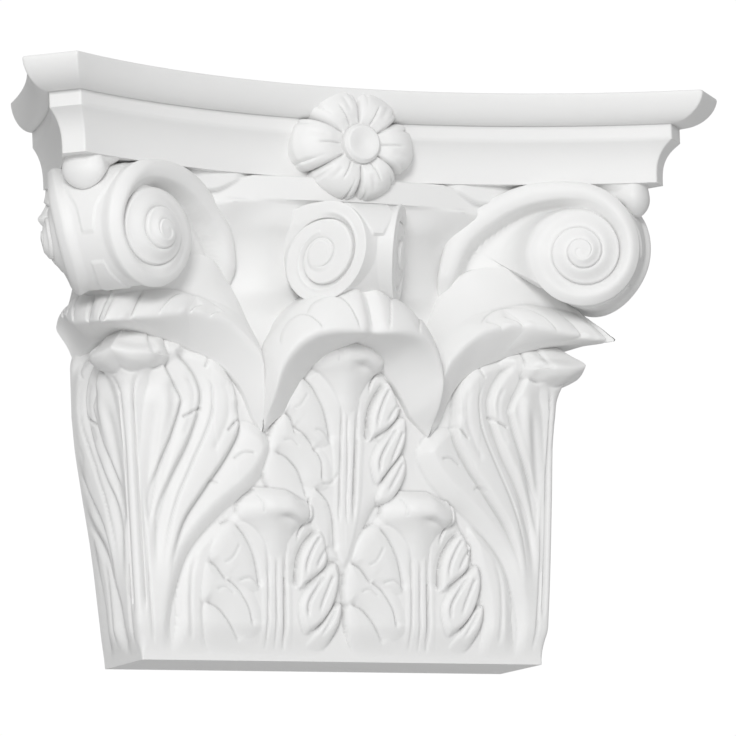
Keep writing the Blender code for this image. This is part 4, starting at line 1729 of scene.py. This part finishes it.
@dataclass
class CalyxLeaf:
    """A leaf that bends forward, drawn by four lines along its length.

    Around the leaf, v runs from inside the bell along the underside to the
    lip's lower edge, up the lip's face, and over the top to its back.

    Attributes:
        name: The piece's name.
        lower: The lip's lower edge.
        upper: The lip's upper edge.
        root: Where the underside leaves the bell.
        back: Where the top meets the bell.
        face_swell: How far the lip's face bulges.
        stations: Faces along the leaf.
        corner: Whether the leaf ends on the corner or at the middle.
        scallop: Depth of the scallops in the lower edge.
        divisions: Cuts through the lip: where along it each one ends, how far
            it slants and how high it reaches.
        arcs: Lines of the curved steps on the lip's face.
        around: Faces around the leaf.
        sag: How far the underside hangs.
        wall_gap: How far in front of the wall a corner leaf is cut.
        edge_at: Value of v on the lip's lower edge.
        top_at: Value of v on its upper edge.
        back_at: Value of v where the top meets the bell.
    """

    name: str
    lower: Line3
    upper: Line3
    root: Line3
    back: Line3
    face_swell: float
    stations: int
    corner: bool
    scallop: float = 0.0
    divisions: Sequence[tuple[float, float, float]] = ()
    arcs: Sequence[Points] = ()
    around: int = 76
    sag: float = 0.8
    wall_gap: float = 0.24
    edge_at: float = 0.36
    top_at: float = 0.66
    back_at: float = 0.92

    def section(self, t: Array, v: Array) -> Places:
        """Find places on the leaf, with the lip's lower edge rounded.

        Args:
            t: Shares of the way along.
            v: Shares of the way around.

        Returns:
            The places.
        """
        plain = np.stack(self.profile(t, v))
        weights = ((-0.04, 1), (-0.02, 2), (0, 2.6), (0.02, 2), (0.04, 1))
        soft = sum(
            w * np.stack(self.profile(t, np.clip(v + d, 0.0, 1.0))) for d, w in weights
        ) / sum(w for _, w in weights)
        x, y, z = np.where(np.abs(v - self.edge_at) < 0.055, soft, plain)
        return x, y, z

    def scallops(self, t: Array, length: float) -> Array:
        """Find how full each scallop of the lower edge is.

        Args:
            t: Shares of the way along.
            length: The leaf's length.

        Returns:
            0 between two scallops, and about 1 at the middle of one.
        """
        first = 0.62
        edges = [at / length for at, _, _ in self.divisions if at > 0.6 * length]
        edges = sorted([*edges, first, 1.0]) if self.divisions else [0.0, 1.0]
        full = np.zeros_like(t)
        for a, b in zip(edges[:-1], edges[1:]):
            s = (t - a) / (b - a)
            arc = np.sin(math.pi * np.clip(s, 0.0, 1.0)) ** 0.6
            full = np.where((s >= 0.0) & (s < 1.0), arc * min((b - a) / 0.13, 1.4), full)
        return full

    def carving(self, t: Array, v: Array, length: float) -> Array:
        """Carve the lip's face and the leaf's top.

        Args:
            t: Shares of the way along.
            v: Shares of the way around.
            length: The leaf's length.

        Returns:
            The relief's height.
        """
        face = (v - self.edge_at) / 0.30 * 15.0
        top = 15.0 + (v - self.top_at) / 0.26 * 20.0
        r = Relief(t * length, np.where(v < self.top_at, face, top))
        for at, slant, rise in self.divisions:
            r.step([(at - slant, rise), (at - slant * 0.45, rise * 0.7),
                    (at - slant * 0.1, rise * 0.35), (at, -1.5)], 2.0, 6.0, 0.6, (0.3, 0.02))
            r.rib([(at + 4.5, -1.0), (at + 4.5, 4.0)], 0.9, 3.4, (0.1, 0.5))
        for arc in self.arcs:
            r.step(arc, 1.3, 3.0, 0.45, (0.15, 0.1))
        return r.h * ramp(v, 0.34, 0.37) * ramp(v, 0.9, 0.8)

    def profile(self, t: Array, v: Array) -> Places:
        """Find places on the leaf, starting inside the bell.

        Args:
            t: Shares of the way along.
            v: Shares of the way around.

        Returns:
            The places.
        """
        low, high, root, back = (
            np.stack(follow(line, t, 16))
            for line in (self.lower, self.upper, self.root, self.back)
        )
        reach = np.array(follow(self.lower, np.linspace(0.0, 1.0, 200), 16))
        length = lengths(reach.T)[-1]
        full = self.scallops(t, length)
        low[2] -= self.scallop * full
        low[1] -= 0.5 * self.scallop * full
        push_root = root + np.array([[0.0], [16.0], [0.0]])
        push_back = back + np.array([[0.0], [12.0], [1.0]])
        under = low * 0.35 + root * 0.65
        under[2] += self.sag
        under[1] -= 1.0
        span = high - low
        size = np.maximum(np.linalg.norm(span, axis=0), TINY)
        out = np.array([np.zeros_like(t), span[2] / size * -1.0, span[1] / size])
        face = (low + high) / 2.0 + out * self.face_swell * (0.45 + 0.55 * full)
        top = high * 0.45 + back * 0.55
        top[2] += 0.6
        p = np.empty((3,) + t.shape)
        parts = (
            (0.0, 0.06, push_root, (push_root + root) / 2, root),
            (0.06, self.edge_at, root, under, low),
            (self.edge_at, self.top_at, low, face, high),
            (self.top_at, self.back_at, high, top, back),
            (self.back_at, 0.97, back, (back + push_back) / 2, push_back),
            (0.97, 1.0, push_back, (push_back + push_root) / 2, push_root),
        )
        for a, b, first, middle, last in parts:
            s = np.clip((v - a) / (b - a), 0.0, 1.0)
            control = 2.0 * middle - (first + last) / 2.0
            piece = first * (1 - s) ** 2 + 2 * control * s * (1 - s) + last * s * s
            p = np.where((v >= a) & (v <= b), piece, p)
        p = p + out * self.carving(t, v, length)
        return self.to_corner(p, t) if self.corner else self.to_middle(p, t, v)

    def to_corner(self, p: Array, t: Array) -> Places:
        """Bring the leaf's end onto the corner's diagonal plane.

        Args:
            p: Places on the leaf.
            t: Their shares of the way along.

        Returns:
            The places.
        """
        shift = (p[0] + p[1] - SIZES.diagonal) / 2.0 * ramp(t, 0.93, 1.0)
        return p[0] - shift, p[1] - shift, p[2]

    def to_middle(self, p: Array, t: Array, v: Array) -> Places:
        """Fold the leaf inward where it meets its mirror image.

        Args:
            p: Places on the leaf.
            t: Their shares of the way along.
            v: Their shares of the way around.

        Returns:
            The places.
        """
        fold = bump(p[0], 0.0, 3.6) + 0.5 * bump(p[0], 0.0, 8.0)
        fold = fold * smooth((v - 0.30) / 0.1) * smooth((0.90 - v) / 0.1)
        rise = 1.3 * fold * smooth((0.5 - v) / 0.1)
        return np.where(t >= 1.0, 0.0, p[0]), p[1] + 2.6 * fold, p[2] + rise

    def build(self, mirror: Place, side: Side) -> bpy.types.Object:
        """Skin the leaf and its mirror image as one closed form.

        Args:
            mirror: Mirrors the leaf.
            side: The side that the leaf is on.

        Returns:
            The piece.
        """
        halves = []
        for mirrored in (False, True):
            bm, u, v = grid(self.stations, self.around)
            x, y, z = self.section(u, v)
            places = (side.value * x, y, z)
            shape(bm, *(mirror(*places) if mirrored else places))
            if mirrored:
                bmesh.ops.reverse_faces(bm, faces=bm.faces)
            halves.append(bm)
        whole = gather(halves, weld=0.02)
        close_rims(whole)
        if self.corner:
            cut_at_wall(whole, self.wall_gap)
        return finish_mesh(self.name, whole, sharp=50.0)


@dataclass
class Calyx:
    """The leaves that carry the scrolls, each drawn on the right."""

    outer_lower: Line3 = (
        (47.2, -58, 117), (48.4, -64, 130), (51.2, -69, 145.5), (57.6, -70.5, 153.3),
        (65.7, -71.5, 160), (73.5, -73, 164.3), (89.2, -74.5, 167.4), (101, -76, 166.5),
        (119.5, -76, 163.5), (133, -76.5, 161.5), (143.5, -78.5, 160),
    )
    outer_upper: Line3 = (
        (46, -57, 119), (46.6, -61, 133), (47.2, -62, 147), (51.5, -62.5, 158), (59, -63, 167),
        (70, -64, 173.5), (86, -65, 178), (98, -66, 179.5), (115, -66, 178), (126, -66, 176),
        (131.5, -66.5, 174.5),
    )
    outer_root: Line3 = (
        (46.5, -55, 112), (52, -56, 120), (57, -57, 131), (65, -57, 141), (74, -57, 147),
        (84, -57, 151), (95, -58, 155), (108, -58, 158), (119, -54, 160),
    )
    outer_back: Line3 = (
        (44, -48, 116), (43, -48, 138), (45, -48, 155), (52, -50, 173), (60, -51, 187),
        (72, -58, 197), (90, -63, 199), (104, -66, 198), (114, -64, 192), (121, -58, 187),
    )
    inner_lower: Line3 = (
        (46.5, -58, 117), (46.3, -67, 124.5), (45.8, -73.5, 132.5), (44.2, -77, 140.5),
        (41, -80.5, 147), (36, -84, 152.3), (29, -87.5, 155.8), (21, -90, 157), (13.5, -91.5, 157),
        (6, -92.3, 156.8), (0, -91.5, 157.4),
    )
    inner_upper: Line3 = (
        (48, -57, 119), (49, -61, 132), (48.8, -62, 142), (47.3, -61, 153), (42, -63, 161),
        (34, -67.5, 171), (24, -74, 177), (12, -80, 180), (5, -83.5, 180.5), (0, -84, 180),
    )
    inner_root: Line3 = (
        (45.5, -55, 112), (40, -56, 117), (34.8, -57, 121.8), (32, -57.5, 127), (28.5, -58, 133),
        (24.2, -58, 139), (17.2, -60, 147), (10, -64, 151.5), (4, -70, 154.5), (0, -74, 156),
    )
    inner_back: Line3 = (
        (44, -48, 118), (43, -48, 138), (42, -48, 153), (38, -50, 163), (31, -54, 173),
        (22, -60, 180), (12, -68, 183.5), (5, -73, 185), (0, -75, 185.5),
    )

    def mirror(self, x: Array, y: Array, z: Array) -> Places:
        """Mirror to the right return, where the leaf is short and high.

        Args:
            x: Places along the front.
            y: Places out from the wall.
            z: Heights.

        Returns:
            The mirrored places.
        """
        mx, my, mz = across_diagonal(x, y, z)
        near = ramp(my, -46.0, 0.0)
        return mx - 5.0 * near * ramp(mx, 118.0, 132.0), my, mz + 9.0 * near

    def build(self) -> list[bpy.types.Object]:
        """Build two corner leaves and the pair under the prow.

        Returns:
            The pieces.
        """
        made = []
        for side in Side:
            leaf = CalyxLeaf(
                side.piece("calyx"), self.outer_lower, self.outer_upper, self.outer_root,
                self.outer_back, face_swell=2.6, stations=260, corner=True, scallop=0.8,
                divisions=((127.5, 0.5, 16), (113.5, 1, 16), (80.5, 5, 8),
                           (69.0, 5.0, 7.0)),
                arcs=([(60, 5), (68, 10.5), (78, 14), (88, 13.5), (95, 9), (98.5, 3),
                       (99, -1.5)],),
            )
            made.append(leaf.build(mirror_on_side(self.mirror, side), side))
        middle = CalyxLeaf(
            "calyx_middle", self.inner_lower, self.inner_upper, self.inner_root,
            self.inner_back, face_swell=3.0, stations=190, corner=False,
            arcs=([(34, 6), (42, 11), (52, 10), (60, 1)],
                  [(53, 8), (61, 13), (72, 12.5), (78, 1)]),
        )
        made.append(middle.build(across_middle, Side.RIGHT))
        return made


# ---------------------------------------------------------------- flower and buds


@dataclass
class Rosette:
    """Six cupped petals around a dished button.

    Attributes:
        button_share: Share of the rings on the button.
        petal_share: Share of the rings on the petals.
        notches: Where each petal's edge is notched, and how deep, with the
            middle of a petal at 0 and its sides at -1 and 1.
    """

    level: float = 253.4
    front: float = 87.0
    button: float = 9.8
    reach: float = 33.5
    petals: int = 6
    around: int = 264
    rings: int = 78
    button_share: float = 0.24
    petal_share: float = 0.52
    notches: Points = ((0.58, 1), (-0.7, 0.7))

    def petal(self, near: Array, across: Array, leaf: Array, r: Array) -> Array:
        """Find how far a petal stands forward.

        Args:
            near: Angle from the petal's middle line.
            across: The same, with the petal's sides at -1 and 1.
            leaf: Share of the petal's length.
            r: Distance from the flower's middle.

        Returns:
            The height over the button's edge.
        """
        edge = np.abs(across)
        rise = read(((0, -4.8), (0.12, -3.6), (0.35, -2.4), (0.55, -3), (0.75, -5.4),
                     (0.9, -8.6), (1, -12.4)), leaf)
        cup = -1.7 * edge**3 * smooth(leaf / 0.3)
        seam = -1.7 * bump(1.0 - edge, 0.0, 0.09) * smooth(leaf / 0.15)
        nick = sum(size * bump(across, at, 0.06) for at, size in self.notches)
        nick = -1.3 * nick * smooth((leaf - 0.72) / 0.2)
        crease = bump((across + 0.38) * r / 5.0, 0.0, 0.5)
        crease = -0.6 * crease * smooth((leaf - 0.3) / 0.2) * smooth((0.85 - leaf) / 0.2)
        vein = -bump(near * r, 0.0, 0.55) * smooth(leaf / 0.12) * smooth((0.66 - leaf) / 0.2)
        return rise + cup + seam + nick + crease + vein

    def surface(self, s: Array, angle: Array) -> Places:
        """Find places on the flower.

        Args:
            s: Shares of the way from the middle outward, then back to the wall.
            angle: Angles around the middle.

        Returns:
            The places.
        """
        part = 2.0 * math.pi / self.petals
        near = (angle + part / 2.0) % part - part / 2.0
        across = near / (part / 2.0)
        edge = np.abs(across)
        tall = np.sin(angle)
        size = self.reach * (1.0 - 0.075 * smooth(tall / 0.8) - 0.17 * smooth(-tall / 0.8))
        reach = size * (1.0 - 0.05 * edge**3 - 0.15 * edge**9)
        reach = reach - sum(depth * bump(across, at, 0.05) for at, depth in self.notches)
        outer = self.button_share + self.petal_share
        disc = np.clip(s / self.button_share, 0.0, 1.0)
        leaf = np.clip((s - self.button_share) / self.petal_share, 0.0, 1.0)
        wall = np.clip((s - outer) / (1.0 - outer), 0.0, 1.0)
        on_button = s < self.button_share
        r = np.where(on_button, self.button * np.sin(disc * math.pi / 2.0) ** 0.9,
                     self.button + (reach - self.button) * leaf)
        rr = r / self.button
        dish = 0.4 - 1.7 * bump(rr, 0.0, 0.55) - 2.2 * smooth((rr - 0.78) / 0.22) ** 2
        lift = np.where(on_button, dish, self.petal(near, across, leaf, r))
        lift = np.where(~on_button & (leaf <= 0.0), -4.8, lift)
        lift = lift - 24.0 * wall**1.5 - smooth(wall * 8)
        r = r - 1.2 * np.sin(wall * math.pi / 2.0)
        z = np.minimum(self.level + r * np.sin(angle), SIZES.height - 0.4)
        return r * np.cos(angle), -self.front - lift, z

    def build(self) -> bpy.types.Object:
        """Skin the flower and close it behind.

        Returns:
            The piece.
        """
        bm, u, v = grid(self.around, self.rings)
        shape(bm, *self.surface(v, u * 2.0 * math.pi))
        bmesh.ops.remove_doubles(bm, verts=bm.verts, dist=0.01)
        close_rims(bm)
        return finish_mesh("rosette", bm, sharp=48.0, sweeps=5)


@dataclass
class Buds:
    """The rounded bud in the angle between each horn and its scroll."""

    middle: tuple[float, float] = (152.4, -87.4)
    top: float = 239.5
    profile: Points = ((0, 9.6), (2, 9.9), (5, 10.7), (7.5, 11), (10, 10.4), (12.6, 8.6),
                       (14.8, 5.9), (16.3, 3), (16.9, 0))
    flat: float = 0.58
    around: int = 72
    rings: int = 30

    def bud(self, side: Side) -> bpy.types.Object:
        """Build one bud, spread along both faces at the top.

        Args:
            side: The side it is on.

        Returns:
            The piece.
        """
        bm, u, v = grid(self.around, self.rings)
        line = spline(self.profile, 24)
        ticks = np.linspace(0.0, 1.0, len(line))
        drop, radius = (np.interp(v, ticks, column) for column in line.T)
        angle = u * 2.0 * math.pi
        out = np.cos(angle)
        inner = 0.6 * radius + 19.0 * ramp(drop, 12.0, 1.0)
        p = out * np.where(out > 0.0, self.flat * radius, inner)
        web = 7.6 * smooth(-out / 0.6) * ramp(drop, 4.6, 0.0)
        q = np.sin(angle) * (radius + web)
        x = self.middle[0] + (p + q) * math.sqrt(0.5)
        y = self.middle[1] + (-p + q) * math.sqrt(0.5)
        shape(bm, side.value * x, y, self.top - drop)
        bmesh.ops.remove_doubles(bm, verts=bm.verts, dist=0.01)
        close_rims(bm)
        return finish_mesh(side.piece("bud"), bm, sharp=60.0)

    def build(self) -> list[bpy.types.Object]:
        """Build one bud on each corner."""
        return [self.bud(side) for side in Side]


# ---------------------------------------------------------------- setting


@dataclass(frozen=True)
class Viewpoint:
    """Where the camera stands and how it looks."""

    place: tuple[float, float, float] = (-1.31811, -2.66439, -0.30124)
    look: tuple[float, float, float] = (0.44655, 0.88211, 0.14988)
    roll: float = math.radians(-2.18)
    lens: float = 293.6
    shift: float = -0.0019

    def build(self) -> None:
        """Add the camera and make it the scene's."""
        data = bpy.data.cameras.new("camera")
        data.lens = self.lens
        data.sensor_width = 36.0
        data.shift_x = self.shift
        data.clip_end = 50.0
        camera = add_object("camera", data)
        ahead = Vector(self.look).normalized()
        right = ahead.cross(Vector((0, 0, 1))).normalized()
        up = right.cross(ahead)
        turned = right * math.cos(self.roll) + up * math.sin(self.roll)
        up = up * math.cos(self.roll) - right * math.sin(self.roll)
        turn = Matrix((turned, up, -ahead)).transposed().to_4x4()
        camera.matrix_world = Matrix.Translation(self.place) @ turn
        bpy.context.scene.camera = camera


@dataclass(frozen=True)
class Lamp:
    """A soft square light that looks at the object's middle."""

    name: str
    place: tuple[float, float, float]
    size: float
    power: float

    def build(self) -> None:
        """Add the light."""
        data = bpy.data.lights.new(self.name, "AREA")
        data.size = self.size
        data.energy = self.power
        lamp = add_object(self.name, data)
        lamp.visible_camera = False
        aim = Vector((0.0, 0.0, 0.14)) - Vector(self.place)
        turn = aim.to_track_quat("-Z", "Y").to_matrix().to_4x4()
        lamp.matrix_world = Matrix.Translation(self.place) @ turn


LAMPS = (
    Lamp("key", (-1.5, -2.5, 0.9), 0.7, 37.0),
    Lamp("fill", (1.6, -2.6, 0.9), 2.0, 2.0),
    Lamp("back", (0.9, 2.4, 1.2), 1.6, 6.0),
)


@dataclass(frozen=True)
class Studio:
    """White surroundings, dimmer from the right, behind and below."""

    bright: float = 0.60
    dim: float = 0.11
    toward: tuple[float, float, float] = (-0.42, -0.78, 0.46)
    backdrop: float = 1.02
    floor_level: float = -0.46
    floor_size: float = 4.0
    floor_tone: float = 0.8

    def surround(self) -> None:
        """Add the world."""
        world = bpy.data.worlds.new("studio")
        world.use_nodes = True
        bpy.context.scene.world = world
        wiring = Wiring(world.node_tree)
        where = wiring.add("ShaderNodeTexCoord")["Generated"]
        turn = wiring.add("ShaderNodeVectorMath", {0: where, 1: self.toward},
                          operation="DOT_PRODUCT")["Value"]
        level = wiring.add("ShaderNodeMapRange", {
            "From Min": -1.0, "From Max": 1.0, "To Min": self.dim, "To Max": self.bright,
            "Value": turn,
        }, interpolation_type="SMOOTHSTEP")["Result"]
        seen = wiring.add("ShaderNodeLightPath")["Is Camera Ray"]
        strength = wiring.add("ShaderNodeMix", {"Factor": seen, "A": level, "B": self.backdrop},
                              data_type="FLOAT")["Result"]
        wiring.fill(wiring.nodes["Background"], {
            "Color": (1.0, 1.0, 1.0, 1.0),
            "Strength": strength,
        })

    def floor(self) -> None:
        """Add the floor."""
        bm = bmesh.new()
        bmesh.ops.create_grid(bm, x_segments=2, y_segments=2, size=self.floor_size)
        bmesh.ops.translate(bm, verts=bm.verts, vec=(0, 0, self.floor_level))
        mesh = bpy.data.meshes.new("floor")
        bm.to_mesh(mesh)
        bm.free()
        floor = add_object("floor", mesh)
        material = bpy.data.materials.new("floor_finish")
        material.use_nodes = True
        wiring = Wiring(material.node_tree)
        wiring.fill(wiring.nodes["Principled BSDF"], {
            "Base Color": (self.floor_tone, self.floor_tone, self.floor_tone, 1),
            "Roughness": 0.9,
        })
        mesh.materials.append(material)

    def build(self) -> None:
        """Add the world and the floor."""
        self.surround()
        self.floor()


def main() -> None:
    logging.basicConfig(level=logging.INFO, format="%(name)s: %(message)s")
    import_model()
    finish = paint(PRIMER)
    pieces = [
        *Bell().build(),
        Abacus().build(),
        *Volutes().build(),
        Helices().build(),
        *Calyx().build(),
        Rosette().build(),
        *Buds().build(),
    ]
    for piece in pieces:
        piece.data.materials.append(finish)
        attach(piece, "root")
        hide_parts(NODE)
        count = sum(len(face.vertices) - 2 for face in piece.data.polygons)
        LOG.info("%s: %d triangles", piece.name, count)
    Viewpoint().build()
    for lamp in LAMPS:
        lamp.build()
    Studio().build()
    bpy.context.scene.view_settings.view_transform = "Standard"


if __name__ == "__main__":
    main()
